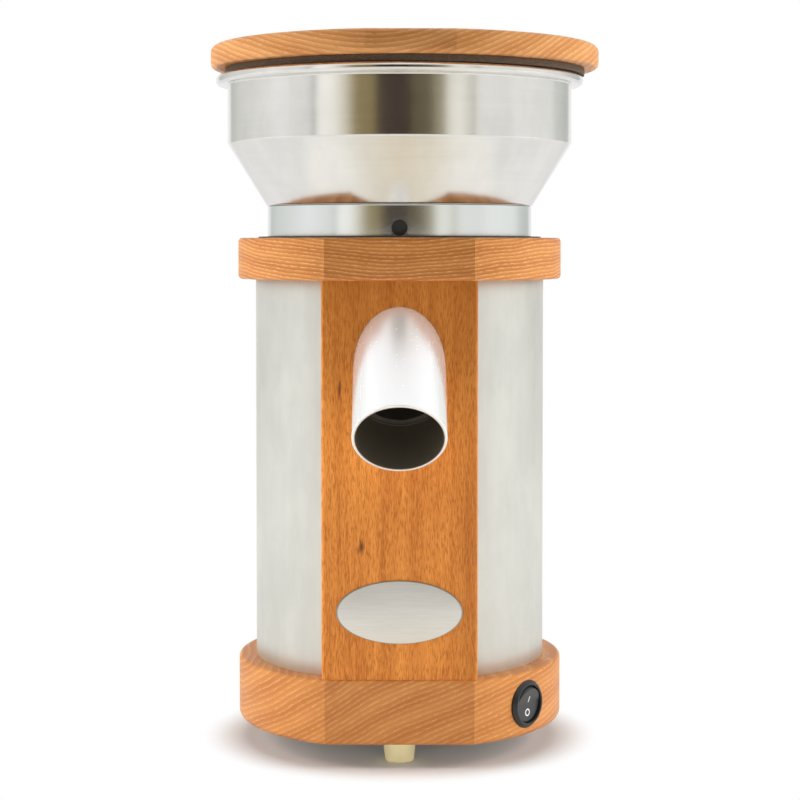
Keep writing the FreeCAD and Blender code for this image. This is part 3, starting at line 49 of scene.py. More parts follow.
def softened(corners, steps=5, closed=True):
    """The outline through corners given as rows of across, up and radius, in millimetres.

    At a corner with unit vectors a and b along its two runs and a half-angle h between them, the arc's
    centre is the corner plus radius / sin h along a + b, and the arc swings from the end of one tangent
    of length radius / tan h to the end of the other. The ends of an open outline stay sharp.
    """
    rows = np.array(corners, float)
    places, radii = rows[:, :2], np.maximum(rows[:, 2], 1e-6)
    back, ahead = np.roll(places, 1, 0) - places, np.roll(places, -1, 0) - places
    back /= np.linalg.norm(back, axis=1)[:, None]
    ahead /= np.linalg.norm(ahead, axis=1)[:, None]
    half = np.arccos(np.clip((back * ahead).sum(1), -1, 1)) / 2
    tangent = radii / np.tan(half)
    middle = back + ahead
    middle /= np.maximum(np.linalg.norm(middle, axis=1), 1e-9)[:, None]
    centre = places + middle * (radii / np.sin(half))[:, None]
    start = places + back * tangent[:, None] - centre
    end = places + ahead * tangent[:, None] - centre
    swing = (math.pi - 2 * half)[:, None]
    share = np.linspace(0, 1, steps)[None, :]
    first = np.sin((1 - share) * swing) / np.sin(swing)
    last = np.sin(share * swing) / np.sin(swing)
    arcs = centre[:, None] + first[..., None] * start[:, None] + last[..., None] * end[:, None]
    if not closed:
        arcs[0], arcs[-1] = places[0], places[-1]
    line = arcs.reshape(-1, 2)
    fresh = np.linalg.norm(np.diff(line, axis=0, prepend=line[:1] - 1), axis=1) > 1e-4
    return line[fresh]


def spun(profile, segments=192, centre=(0, 0)):
    """A grid that turns a profile of radius and height about an upright axis: x = r cos a, y = r sin a."""
    turn = np.linspace(0, 2 * math.pi, segments, endpoint=False)
    radius, height = profile[:, 0:1], profile[:, 1:2]
    x = centre[0] + radius * np.cos(turn)
    y = centre[1] + radius * np.sin(turn)
    return np.stack([x, y, height + 0 * turn], axis=-1)


def closed_faces(rows, columns, loop):
    """The corner numbers of a grid's quads, closed across its columns and, for a loop, along its rows."""
    row = np.arange(rows if loop else rows - 1)[:, None]
    column = np.arange(columns)[None, :]
    below, right = (row + 1) % rows, (column + 1) % columns
    here, under = row * columns, below * columns
    quads = [here + column, here + right, under + right, under + column]
    return np.stack(np.broadcast_arrays(*quads), axis=-1).reshape(-1, 4)


def mesh_of(name, grids, crisp=CRISP):
    """One closed mesh from grids of points in millimetres, each with whether its rows close into a loop.

    Doubled points at poles are merged, the faces are turned outwards, and edges sharper than the angle
    crisp stay crisp in the shading.
    """
    points, faces, count = [], [], 0
    for grid, loop in grids:
        rows, columns = grid.shape[:2]
        points.append(grid.reshape(-1, 3))
        faces.append(closed_faces(rows, columns, loop) + count)
        count += rows * columns
    mesh = bpy.data.meshes.new(name)
    mesh.from_pydata((np.concatenate(points) * MM).tolist(), [], np.concatenate(faces).tolist())
    work = bmesh.new()
    work.from_mesh(mesh)
    bmesh.ops.remove_doubles(work, verts=work.verts, dist=2e-6)
    bmesh.ops.recalc_face_normals(work, faces=work.faces)
    work.to_mesh(mesh)
    work.free()
    mesh.shade_smooth()
    mesh.set_sharp_from_angle(angle=math.radians(crisp))
    return mesh


def piece(name, mesh, body, stands_for, finish):
    """Puts a finished mesh into the scene on its body, in place of the CAD nodes that it stands for."""
    made = bpy.data.objects.new(name, mesh)
    bpy.context.scene.collection.objects.link(made)
    mesh.materials.clear()
    mesh.materials.append(finish)
    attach(made, body)
    if stands_for:
        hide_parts(*stands_for)
    return made


class Field:
    """A value that varies over a surface. Sums, products and the like on it add Math nodes."""

    def __init__(self, finish, socket):
        self.finish = finish
        self.socket = socket

    def maths(self, operation, first, second=0.0):
        node = self.finish.node("Math", {"operation": operation}, {0: first, 1: second})
        return Field(self.finish, node.outputs[0])

    def __add__(self, other):
        return self.maths("ADD", self, other)

    __radd__ = __add__

    def __sub__(self, other):
        return self.maths("SUBTRACT", self, other)

    def __rsub__(self, other):
        return self.maths("SUBTRACT", other, self)

    def __mul__(self, other):
        return self.maths("MULTIPLY", self, other)

    __rmul__ = __mul__

    def __truediv__(self, other):
        return self.maths("DIVIDE", self, other)

    def __pow__(self, other):
        return self.maths("POWER", self, other)

    def sine(self):
        return self.maths("SINE", self)

    def root(self):
        return self.maths("SQRT", self)

    def size(self):
        return self.maths("ABSOLUTE", self)

    def over(self, low, high):
        """0 below low, 1 above high and a smooth step between."""
        settings = {"interpolation_type": "SMOOTHSTEP"}
        node = self.finish.node("MapRange", settings, {0: self, 1: low, 2: high, 3: 0.0, 4: 1.0})
        return Field(self.finish, node.outputs[0])


class Finish:
    """A material and its nodes. Its one method, node, adds any node."""

    def __init__(self, name, colour, roughness, metallic=0.0, specular=0.5):
        self.material = bpy.data.materials.new(name)
        self.material.use_nodes = True
        self.tree = self.material.node_tree
        self.surface = self.tree.nodes["Principled BSDF"]
        self.surface.inputs["Base Color"].default_value = (*colour, 1)
        self.surface.inputs["Roughness"].default_value = roughness
        self.surface.inputs["Metallic"].default_value = metallic
        self.surface.inputs["Specular IOR Level"].default_value = specular

    def node(self, kind, settings, sockets):
        made = self.tree.nodes.new(f"ShaderNode{kind}")
        for key, value in settings.items():
            setattr(made, key, value)
        for key, value in sockets.items():
            self.feed(made.inputs[key], value)
        return made

    def feed(self, socket, value):
        """Links a field or a socket, or sets a plain value."""
        if isinstance(value, Field):
            self.tree.links.new(value.socket, socket)
        elif isinstance(value, bpy.types.NodeSocket):
            self.tree.links.new(value, socket)
        elif isinstance(value, tuple) and socket.type == "RGBA":
            socket.default_value = (*value[:3], 1)
        else:
            socket.default_value = value

    def place(self):
        """The x, y and z of the surface's point in metres, as fields."""
        coordinates = self.node("TexCoord", {}, {})
        parts = self.node("SeparateXYZ", {}, {0: coordinates.outputs["Object"]})
        return [Field(self, parts.outputs[axis]) for axis in range(3)]

    def noise(self, x, y, z, detail=2.0, roughness=0.5):
        """Fractal noise from 0 to 1 at a point whose coordinates are already scaled."""
        at = self.node("CombineXYZ", {}, {0: x, 1: y, 2: z})
        sockets = {"Vector": at.outputs[0], "Scale": 1.0, "Detail": detail, "Roughness": roughness}
        return Field(self, self.node("TexNoise", {"normalize": True}, sockets).outputs[0])

    def mixed(self, share, first, second):
        """A colour between two, by a share from 0 to 1."""
        node = self.node("Mix", {"data_type": "RGBA"}, {0: share, 6: first, 7: second})
        return node.outputs[2]

    def bumped(self, height, strength, depth):
        """Feeds a height field to the surface's normal."""
        node = self.node("Bump", {}, {"Strength": strength, "Distance": depth, "Height": height})
        self.tree.links.new(node.outputs[0], self.surface.inputs["Normal"])

    def coloured(self, colour):
        self.feed(self.surface.inputs["Base Color"], colour)

    def roughened(self, roughness):
        self.feed(self.surface.inputs["Roughness"], roughness)


def moulded(name, colour, roughness, grain=0.0004, depth=0.00002, spread=0.12):
    """Moulded rubber or plastic: a fine even grain, with slightly uneven gloss and tone."""
    finish = Finish(name, colour, roughness)
    x, y, z = finish.place()
    speckle = finish.noise(x / grain, y / grain, z / grain, detail=3)
    cloud = finish.noise(x / 0.009, y / 0.009, z / 0.009, detail=2)
    shade = tuple(part * (1 - spread) for part in colour)
    finish.coloured(finish.mixed(cloud, colour, shade))
    finish.roughened(speckle * 0.14 + (roughness - 0.07))
    finish.bumped(speckle, 0.35, depth)
    return finish.material


foot_profile = softened([
    (HEAD_BORE, 0.0, 0.4),
    (FOOT_TOE, 0.0, 1.0),
    (FOOT_TOP, FOOT_HEIGHT, 0.3),
    (SHANK_BORE, FOOT_HEIGHT, 0.2),
    (SHANK_BORE, FOOT_LEDGE, 0.2),
    (HEAD_BORE, FOOT_LEDGE, 0.2),
])
foot_rubber = moulded("ivory_rubber", (0.95, 0.84, 0.48), 0.55, grain=0.0006)
for foot_name, degrees in (("foot_front", -90), ("foot_right", 30), ("foot_left", 150)):
    azimuth = math.radians(degrees)
    centre = (FOOT_CIRCLE * math.cos(azimuth), FOOT_CIRCLE * math.sin(azimuth))
    foot_mesh = mesh_of(foot_name, [(spun(foot_profile, 64, centre), True)])
    piece(f"{foot_name}_rubber", foot_mesh, "housing", [foot_name], foot_rubber)

# The base: a thick beech disc with a straight front, turned, rounded over and oiled.
# A recess from below holds the wiring; the rods come through it from the top plate.
WOOD_RADIUS, WOOD_FLAT, WOOD_EDGE, WOOD_FOOT_EDGE = 72.5, 7.3, 1.7, 3.0
WOOD_FACET = WOOD_RADIUS - WOOD_FLAT
BASE_LOW = FOOT_HEIGHT
BASE_HIGH = BASE_LOW + 27.9
BASE_HOLE, BASE_MIDWAY = 28.0, 56.0
RECESS_RADIUS, RECESS_TOP, COVER_SEAT = 42.0, 31.6, 62.1
COVER_TOP = BASE_LOW + 1.2
SWITCH_ANGLE, SWITCH_HEIGHT = math.radians(49.5), (BASE_LOW + BASE_HIGH) / 2
SWITCH_FACE, SWITCH_BORE, SWITCH_SINK = 71.7, 9.55, 10.35
GLAND_FACE, GLAND_BORE, GLAND_SINK = 71.9, 6.05, 8.45
BORE_START, BORE_END = 30, 80
OUTLINE_INSET, CORNER_SPREAD = 40.0, 0.07


def flat_fronted(radius, facet, rows, blend=1.6, turned=0.0, centre=(0, 0)):
    """A grid for a disc whose front is cut off straight, from rows of inset, height and kind.

    On an outline row the radius at an angle a from the front is the softened lesser of radius - inset and
    (facet - inset) / cos a, where blend is the width in millimetres over which the two run together. On a
    round row the inset column holds a plain radius instead.
    """
    near, far = math.acos(facet / radius) - CORNER_SPREAD, math.acos(facet / radius) + CORNER_SPREAD
    front = np.linspace(-near, near, 40, endpoint=False)
    side = np.linspace(near, far, 24, endpoint=False)
    rear = np.linspace(far, 2 * math.pi - far, 220, endpoint=False)
    angle = np.concatenate([front, side, rear, 2 * math.pi - far + (side - side[0])])
    inset, height, outlined = (np.array(rows, float)[:, column, None] for column in range(3))
    facing = np.cos(angle)
    straight = np.where(facing > 0.5, (facet - inset) / np.maximum(facing, 0.5), 10 * radius)
    arc = radius - inset + 0 * angle
    gap = arc - straight
    lesser = (arc + straight - np.sqrt(gap * gap + blend * blend)) / 2
    lesser += blend * blend / (4 * np.abs(gap) + 2 * blend)
    reach = np.where(outlined > 0, lesser, inset)
    x = centre[0] + reach * np.sin(angle + turned)
    y = centre[1] - reach * np.cos(angle + turned)
    return np.stack([x, y, height + 0 * angle], axis=-1)


def rounded_edge(high, low, upper, lower):
    """Outline rows for flat_fronted: a board's edge from one height down to another, its corners rounded."""
    profile = softened([
        (OUTLINE_INSET, high, 0.0), (0.0, high, upper), (0.0, low, lower), (OUTLINE_INSET, low, 0.0),
    ], steps=9, closed=False)[1:-1]
    return np.column_stack([profile, np.ones(len(profile))])


def round_rows(*places):
    """Round rows for flat_fronted from radii and heights."""
    return np.array([(radius, height, 0) for radius, height in places], float)


def cut_away(mesh, name, cutters):
    """Cuts closed meshes out of a mesh with an exact Boolean, then sets its shading again."""
    block = bpy.data.objects.new(name, mesh)
    bpy.context.scene.collection.objects.link(block)
    tools = []
    for number, cutter in enumerate(cutters):
        tool = bpy.data.objects.new(f"{name}_cutter_{number}", cutter)
        bpy.context.scene.collection.objects.link(tool)
        tools.append(tool)
        change = block.modifiers.new("cut", "BOOLEAN")
        change.operation = "DIFFERENCE"
        change.solver = "EXACT"
        change.object = tool
    seen = block.evaluated_get(bpy.context.evaluated_depsgraph_get())
    result = bpy.data.meshes.new_from_object(seen)
    for thing in [block, *tools]:
        bpy.data.objects.remove(thing)
    result.shade_smooth()
    result.set_sharp_from_angle(angle=math.radians(CRISP))
    return result


def drill(start, end, radius, segments=64):
    """A closed cylinder between two points in millimetres, as a tool that cuts a bore."""
    start, end = np.array(start, float), np.array(end, float)
    along = (end - start) / np.linalg.norm(end - start)
    side = np.cross(along, (0.0, 0.0, 1.0) if abs(along[2]) < 0.9 else (1.0, 0.0, 0.0))
    side /= np.linalg.norm(side)
    other = np.cross(along, side)
    turn = np.linspace(0, 2 * math.pi, segments, endpoint=False)[:, None]
    ring = radius * (np.cos(turn) * side + np.sin(turn) * other)
    grid = np.stack([start + 0 * ring, start + ring, end + ring, end + 0 * ring])
    return mesh_of("drill", [(grid, False)])


def beech(name, heart, spacing, dark, light, line, warp=1.6, contrast=0.75, late=0.5):
    """Oiled beech cut across the trunk: growth rings about a heart line along y, and short pale flecks.

    A ring's phase is the distance from the heart (x, z, in millimetres), bent by slow noise, over the
    spacing. A sine of it, raised to a power, leaves the thin pale line of each ring, and noise stretched
    along the rings breaks that line into flecks. A second sine, a little behind, shades each ring's late
    wood.
    """
    finish = Finish(name, dark, 0.45, specular=0.3)
    x, y, z = finish.place()
    slow = finish.noise(x / 0.045, y / 0.045, z / 0.03, detail=1.5)
    fast = finish.noise(x / 0.009, y / 0.02, z / 0.004, detail=2)
    across, up = x - heart[0] * MM, z - heart[1] * MM
    distance = (across * across + up * up).root()
    bent = distance + (slow - 0.5) * (warp * 4 * MM) + (fast - 0.5) * (warp * 0.35 * MM)
    ring = ((bent * (2 * math.pi / (spacing * MM))).sine() * 0.5 + 0.5) ** 3.0
    broad = ((bent * (2 * math.pi / (spacing * 5.3 * MM))).sine() * 0.5 + 0.5)
    dashes = finish.noise(bent / 0.00030, x / 0.0022, y / 0.0022, detail=2.5, roughness=0.65)
    grit = finish.noise(bent / 0.00016, x / 0.0006, y / 0.0006, detail=2)
    tone = finish.noise(x / 0.02, y / 0.03, bent / 0.006, detail=3)
    body = finish.mixed(tone * 0.6 + broad * 0.35 + (grit - 0.5) * 0.9 - 0.05, dark, light)
    shade = ((bent * (2 * math.pi / (spacing * MM)) + 2.2).sine() * 0.5 + 0.5) ** 4.0
    shaded = finish.mixed(shade * grit.over(0.25, 0.75) * late, body, tuple(part * 0.42 for part in dark))
    streak = ring * dashes.over(0.36, 0.66) * contrast
    finish.coloured(finish.mixed(streak, shaded, line))
    finish.roughened(dashes * 0.12 + 0.38)
    finish.bumped(dashes + grit * 0.5, 0.25, 0.00006)
    return finish.material


BEECH = ((0.46, 0.146, 0.028), (0.70, 0.300, 0.080), (0.86, 0.50, 0.21))
base_rows = np.concatenate([
    round_rows((BASE_HOLE, BASE_HIGH), (BASE_MIDWAY, BASE_HIGH)),
    rounded_edge(BASE_HIGH, BASE_LOW, WOOD_EDGE, WOOD_FOOT_EDGE),
    round_rows((COVER_SEAT, BASE_LOW), (COVER_SEAT, COVER_TOP), (RECESS_RADIUS, COVER_TOP),
               (RECESS_RADIUS, RECESS_TOP), (BASE_HOLE, RECESS_TOP)),
])
base_solid = mesh_of("base_solid", [(flat_fronted(WOOD_RADIUS, WOOD_FACET, base_rows), True)])
outward = np.array([math.sin(SWITCH_ANGLE), -math.cos(SWITCH_ANGLE), 0.0])
middle_height = np.array([0.0, 0.0, SWITCH_HEIGHT])
base_mesh = cut_away(base_solid, "base_mesh", [
    drill(middle_height + BORE_START * outward, middle_height + BORE_END * outward, SWITCH_BORE),
    drill(middle_height + SWITCH_FACE * outward, middle_height + BORE_END * outward, SWITCH_SINK),
    drill((0, BORE_START, SWITCH_HEIGHT), (0, BORE_END, SWITCH_HEIGHT), GLAND_BORE),
    drill((0, GLAND_FACE, SWITCH_HEIGHT), (0, BORE_END, SWITCH_HEIGHT), GLAND_SINK),
])
base_beech = beech("beech_base", (107, -191), 2.1, *BEECH, contrast=0.5, late=0.22)
piece("base_wood", base_mesh, "housing", ["base"], base_beech)

# The housing: thin brushed steel sheet rolled to a tube, open at the front for the wooden panel.
# It stands on the base and is clamped under the top plate.
SHELL_RADIUS, SHELL_WALL = 64.7, 0.8
SHELL_LOW = BASE_HIGH
SHELL_HIGH = SHELL_LOW + 168.8
PANEL_HALF, PANEL_FRONT, PANEL_BACK, PANEL_GAP = 33.0, 63.5, 55.5, 0.1


def rolled(radius, wall, low, high, opening):
    """A closed grid for a tube with an opening: its section loop is carried round from edge to edge.

    The section runs up the outside and down the inside. Its first and last places are drawn to a point
    in the wall's middle, which closes the sheet's two upright ends.
    """
    section = softened([
        (radius - wall, low, 0.1), (radius, low, 0.1), (radius, high, 0.1), (radius - wall, high, 0.1),
    ], steps=3)
    start = np.arcsin(opening / radius)
    angle = np.linspace(start, 2 * math.pi - start, 241)
    angle = np.concatenate([angle[:1], angle, angle[-1:]])
    keep = np.ones((len(angle), 1, 1))
    keep[0] = keep[-1] = 0
    middle = section.mean(axis=0)
    profile = middle + keep * (section[None] - middle)
    x = profile[..., 0] * np.sin(angle)[:, None]
    y = -profile[..., 0] * np.cos(angle)[:, None]
    return np.stack([x, y, profile[..., 1]], axis=-1)


def brushed(name, colour, roughness, along, streak=0.00016, run=0.03, depth=0.000006, uneven=0.10,
            metallic=1.0):
    """Brushed or spun metal: fine scratches that run along one direction of a tube.

    The direction is "up" for scratches along z, "round" for those along the turn about the axis, or
    "across" for those along x on a flat plate. Noise is squeezed across the scratches and stretched along
    them.
    """
    finish = Finish(name, colour, roughness, metallic=metallic)
    x, y, z = finish.place()
    if along == "across":
        narrow, wide, third = z, x, y
    else:
        turn = x.maths("ARCTAN2", x, y) * 0.07
        narrow, wide = (turn, z) if along == "up" else (z, turn)
        third = (x * x + y * y).root()
    scratches = finish.noise(narrow / streak, wide / run, third / run, detail=3, roughness=0.6)
    bands = finish.noise(narrow / (streak * 14), wide / (run * 1.6), third / run, detail=3)
    cloud = finish.noise(x / 0.02, y / 0.02, z / 0.03, detail=4, roughness=0.6)
    shade = tuple(part * (1 - uneven) for part in colour)
    finish.coloured(finish.mixed((scratches + bands + cloud.over(0.3, 0.7)) * 0.333, shade, colour))
    finish.roughened(scratches * 0.10 + cloud * 0.06 + (roughness - 0.08))
    finish.bumped(scratches + bands * 0.6, 0.5, depth)
    return finish.material


housing_steel = brushed("brushed_sheet_steel", (0.735, 0.735, 0.685), 0.42, "up",
                        streak=0.0004, depth=0.00001, uneven=0.24, metallic=0.75)
shell_grid = rolled(SHELL_RADIUS, SHELL_WALL, SHELL_LOW, SHELL_HIGH, PANEL_HALF + PANEL_GAP)
shell_mesh = mesh_of("shell", [(shell_grid, False)])
piece("housing_sheet", shell_mesh, "housing", ["body_shell"], housing_steel)

# The front panel: a board of steamed beech between base and top plate, dowelled at both ends.
# A slanting bore lets the spout through.
TILT = math.radians(41)
SPOUT_CROSSING, SPOUT_REACH, SPOUT_HOLE = 169.5, 40.7, 19.6
PANEL_ARRIS = 1.3
KNOTS = ((-16.1, 94.0, 1.5, 4.4), (-25.2, 160.6, 0.9, 5.0))
spout_axis = np.array([0.0, -math.cos(TILT), -math.sin(TILT)])
spout_rise = np.array([0.0, -math.sin(TILT), math.cos(TILT)])
spout_centre = np.array([0.0, -PANEL_FRONT, SPOUT_CROSSING])


def board(half, front, back, low, high, arris, steps=7):
    """A closed grid for an upright board: its outline seen from above, carried from its foot to its head."""
    outline = softened([
        (-half, -front, arris), (half, -front, arris), (half, -back, 0.2), (-half, -back, 0.2),
    ], steps=steps)
    middle = outline.mean(axis=0)
    heights = np.array([low, low, *np.linspace(low, high, 12), high, high])
    drawn = np.ones(len(heights))
    drawn[0] = drawn[-1] = 0
    plan = middle + drawn[:, None, None] * (outline[None] - middle)
    return np.concatenate([plan, np.broadcast_to(heights[:, None, None], plan.shape[:2] + (1,))], axis=-1)


def panel_beech():
    """Steamed beech cut along the trunk: upright dark flecks on orange-brown, and two small knots.

    The board is a little darker towards its head and its right edge; this darkening is painted shade, not a
    tone of the wood.
    """
    finish = Finish("beech_panel", (0.6, 0.25, 0.07), 0.42, specular=0.2)
    x, y, z = finish.place()
    sway = finish.noise(x / 0.02, y / 0.02, z / 0.05, detail=2)
    across = x + (sway - 0.5) * 0.004
    flecks = finish.noise(across / 0.00042, y / 0.002, z / 0.0036, detail=2.5, roughness=0.6)
    fibres = finish.noise(across / 0.00016, y / 0.001, z / 0.006, detail=2)
    bands = finish.noise(across / 0.0045, y / 0.02, z / 0.09, detail=3, roughness=0.6)
    body = finish.mixed(bands.over(0.25, 0.75), (0.60, 0.185, 0.026), (0.86, 0.320, 0.056))
    pale = finish.mixed((fibres * 0.5 + flecks * 0.5).over(0.50, 0.72) * 0.6, body, (0.94, 0.43, 0.11))
    marked = finish.mixed((1 - flecks).over(0.46, 0.68) * 0.58, pale, (0.34, 0.080, 0.008))
    for knot_x, knot_z, wide, tall in KNOTS:
        aside = (x - knot_x * MM) / (wide * MM)
        above = (z - knot_z * MM) / (tall * MM)
        spread = (aside * aside + above * above).root() + (flecks - 0.5) * 0.6
        marked = finish.mixed((1 - spread.over(0.1, 1.1)) * 0.85, marked, (0.10, 0.022, 0.006))
    # Painted shade: the colour is mixed to deep brown towards the board's head, under the top plate, and
    # towards its right edge.
    upper = (z + (sway - 0.5) * 0.02).over(0.150, 0.208) * 0.42
    edge = (x + (bands - 0.5) * 0.012).over(0.019, 0.031) * 0.30
    dark = finish.mixed(upper, marked, (0.26, 0.070, 0.006))
    finish.coloured(finish.mixed(edge, dark, (0.26, 0.070, 0.006)))
    finish.roughened(flecks * 0.16 + 0.36)
    finish.bumped(flecks + fibres * 0.5, 0.3, 0.00006)
    return finish.material


panel_grid = board(PANEL_HALF, PANEL_FRONT, PANEL_BACK, SHELL_LOW, SHELL_HIGH, PANEL_ARRIS)
panel_mesh = cut_away(mesh_of("panel_solid", [(panel_grid, False)]), "panel_mesh", [
    drill(spout_centre - 40 * spout_axis, spout_centre + 40 * spout_axis, SPOUT_HOLE, 128),
])
panel_wood = panel_beech()
piece("panel_wood", panel_mesh, "housing", ["front_panel"], panel_wood)

# The oval plate: thin aluminium sheet stamped out, brushed across and bevelled round its edge.
# It is glued to the panel and is bare.
OVAL_HALF, OVAL_RISE, OVAL_HEIGHT, OVAL_THICK = 26.8, 13.45, 66.4, 0.8


def oval_grid():
    """A closed grid for an elliptical plate, before the panel. A row is the ellipse less an inset.

    The first and last rows are drawn to the plate's middle, which closes its two faces.
    """
    rows = softened([
        (OVAL_HALF, 0.0, 0.0), (0.0, 0.0, 0.05), (0.0, OVAL_THICK, 0.35), (OVAL_HALF, OVAL_THICK, 0.0),
    ], steps=6, closed=False)
    turn = np.linspace(0, 2 * math.pi, 160, endpoint=False)
    inset, depth = rows[:, 0:1], rows[:, 1:2]
    share = np.where(inset > 20, 0.0, 1.0)
    x = share * (OVAL_HALF - inset) * np.cos(turn)
    z = OVAL_HEIGHT + share * (OVAL_RISE - inset) * np.sin(turn)
    return np.stack([x, -PANEL_FRONT - depth + 0 * turn, z], axis=-1)


def oval_aluminium():
    """Aluminium brushed across, with a painted shadow line: a fine dark outline where the ellipse (x/a)^2 +
    (z/b)^2 nears 1.
    """
    finish = Finish("brushed_plate", (0.95, 0.96, 0.96), 0.42, metallic=1.0)
    x, y, z = finish.place()
    fine_lines = finish.noise(z / 0.0005, x / 0.012, y / 0.01, detail=3, roughness=0.65)
    broad_lines = finish.noise(z / 0.0022, x / 0.03, y / 0.01, detail=2)
    aside = x / (OVAL_HALF * MM)
    above = (z - OVAL_HEIGHT * MM) / (OVAL_RISE * MM)
    # Painted shadow: a dark brown line mixed in round the plate's outline, where it meets the panel.
    edge = (aside * aside + above * above).root().over(0.965, 0.992)
    face = finish.mixed(fine_lines * 0.65 + broad_lines * 0.35, (0.72, 0.73, 0.72), (1.0, 1.0, 1.0))
    finish.coloured(finish.mixed(edge * 0.75, face, (0.20, 0.17, 0.13)))
    finish.roughened(fine_lines * 0.10 + 0.36)
    finish.bumped(fine_lines, 0.5, 0.000008)
    return finish.material


oval_metal = oval_aluminium()
oval_mesh = mesh_of("oval", [(oval_grid(), False)])
piece("oval_sheet", oval_mesh, "housing", ["oval_plate"], oval_metal)

# The spout: a polished aluminium tube, cut square at its mouth and coped round the chamber at its root.
# It sits in the panel's slanting bore and is stepped inside, where the chamber's duct ends.
SPOUT_RADIUS, SPOUT_BORE, ROOT_BORE, COPE_RADIUS = 19.5, 18.0, 17.7, 55.3
SPOUT_STEP = 16.0


def spout_grid():
    """A closed grid for the tube: centre + t axis + r (sin u side + cos u rise), for radius r and reach t.

    The root rows end where the tube meets an upright cylinder about the mill's axis, which gives
    t = (depth of that cylinder at x, less the centre's and the rise's own depth) / cos tilt.
    """
    turn = np.linspace(0, 2 * math.pi, 160, endpoint=False)
    mouth = softened([
        (SPOUT_RADIUS, 0.0, 0.0), (SPOUT_RADIUS, SPOUT_REACH, 0.4), (SPOUT_BORE, SPOUT_REACH, 0.3),
        (SPOUT_BORE, SPOUT_STEP, 0.1), (ROOT_BORE, SPOUT_STEP, 0.1), (ROOT_BORE, 0.0, 0.0),
    ], steps=5, closed=False)
    radius, reach = mouth[:, 0:1], mouth[:, 1:2] + 0 * turn
    depth = np.sqrt(COPE_RADIUS ** 2 - (radius * np.sin(turn)) ** 2)
    root = (depth - PANEL_FRONT - radius * np.cos(turn) * math.sin(TILT)) / math.cos(TILT)
    reach[0], reach[-1] = root[0], root[-1]
    sideways = radius * np.sin(turn)
    upward = radius * np.cos(turn)
    x = sideways
    y = spout_centre[1] + reach * spout_axis[1] + upward * spout_rise[1]
    z = spout_centre[2] + reach * spout_axis[2] + upward * spout_rise[2]
    return np.stack([x, y, z], axis=-1)


def polished_spout():
    """Polished aluminium with faint draw lines along the tube, and a rougher bore by distance from its axis,
    coloured dark brown there as painted shade.
    """
    finish = Finish("polished_aluminium", (0.95, 0.95, 0.955), 0.22, metallic=0.72)
    x, y, z = finish.place()
    length = y * spout_axis[1] + z * spout_axis[2]
    height = y * spout_rise[1] + z * spout_rise[2]
    lines = finish.noise(x / 0.0005, height / 0.0005, length / 0.05, detail=2)
    specks = finish.noise(x / 0.0009, height / 0.0009, length / 0.0009, detail=2)
    middle = (math.cos(TILT) * SPOUT_CROSSING + math.sin(TILT) * PANEL_FRONT) * MM
    off_axis = (x * x + (height - middle) ** 2.0).root()
    # Painted shade: inside the bore the colour turns dark brown, for the shade within the tube; its extra
    # roughness is the bore's own.
    outside = off_axis.over((SPOUT_BORE + 0.1) * MM, (SPOUT_BORE + 0.7) * MM)
    polished = finish.mixed(lines, (0.95, 0.95, 0.955), (0.98, 0.98, 0.985))
    finish.coloured(finish.mixed(outside, (0.17, 0.145, 0.105), polished))
    finish.roughened(lines * 0.04 + specks * 0.04 + 0.22 + (1 - outside) * 0.35)
    finish.bumped(lines, 0.1, 0.000004)
    return finish.material


spout_mesh = mesh_of("spout", [(spout_grid(), True)])
piece("spout_metal_tube", spout_mesh, "housing", ["spout_tube"], polished_spout())

# The top plate: the base's outline in thinner beech, bored and stepped for the threaded ring.
# The tie rods pull it down on the housing and the panel.
PLATE_LOW = SHELL_HIGH
PLATE_HIGH = PLATE_LOW + 18.2
RING_SEAT = PLATE_HIGH - 5.6
RING_BORE, RING_WALL, RING_FLOOR, RING_LIP, RING_ROOM = 52.0, 55.0, 61.0, 63.5, 0.1
plate_rows = np.concatenate([
    round_rows((RING_FLOOR + RING_ROOM, RING_SEAT), (RING_FLOOR + RING_ROOM, PLATE_HIGH)),
    rounded_edge(PLATE_HIGH, PLATE_LOW, WOOD_EDGE, WOOD_EDGE),
    round_rows((RING_WALL + RING_ROOM, PLATE_LOW), (RING_WALL + RING_ROOM, RING_SEAT)),
])
plate_mesh = mesh_of("plate", [(flat_fronted(WOOD_RADIUS, WOOD_FACET, plate_rows), True)])
plate_beech = beech("beech_plate", (0, 510), 1.55, *BEECH, warp=1.3, contrast=0.72, late=0.62)
piece("top_plate_wood", plate_mesh, "housing", ["top_plate"], plate_beech)

# The black ring: a moulding screwed into the top plate. It carries the thread for the collar, and its
# lip shows as a thin dark line on the wood.
LIP_TOP, TRAY_TOP, THREAD_TOP = PLATE_HIGH + 0.6, RING_SEAT + 1.7, PLATE_HIGH + 5.4
TRAY_EDGE = RING_FLOOR - 1.0
ring_profile = softened([
    (RING_BORE, PLATE_LOW, 0.2),
    (RING_WALL, PLATE_LOW, 0.2),
    (RING_WALL, RING_SEAT, 0.05),
    (RING_FLOOR, RING_SEAT, 0.2),
    (RING_FLOOR, PLATE_HIGH, 0.05),
    (RING_LIP, PLATE_HIGH, 0.1),
    (RING_LIP, LIP_TOP, 0.25),
    (TRAY_EDGE, LIP_TOP, 0.25),
    (TRAY_EDGE, TRAY_TOP, 0.3),
    (RING_WALL, TRAY_TOP, 0.3),
    (RING_WALL, THREAD_TOP, 0.4),
    (RING_BORE, THREAD_TOP, 0.4),
])
black_moulding = moulded("black_moulding", (0.018, 0.018, 0.018), 0.5)
ring_mesh = mesh_of("ring", [(spun(ring_profile, 192), True)])
piece("thread_ring_moulding", ring_mesh, "housing", ["thread_ring"], black_moulding)

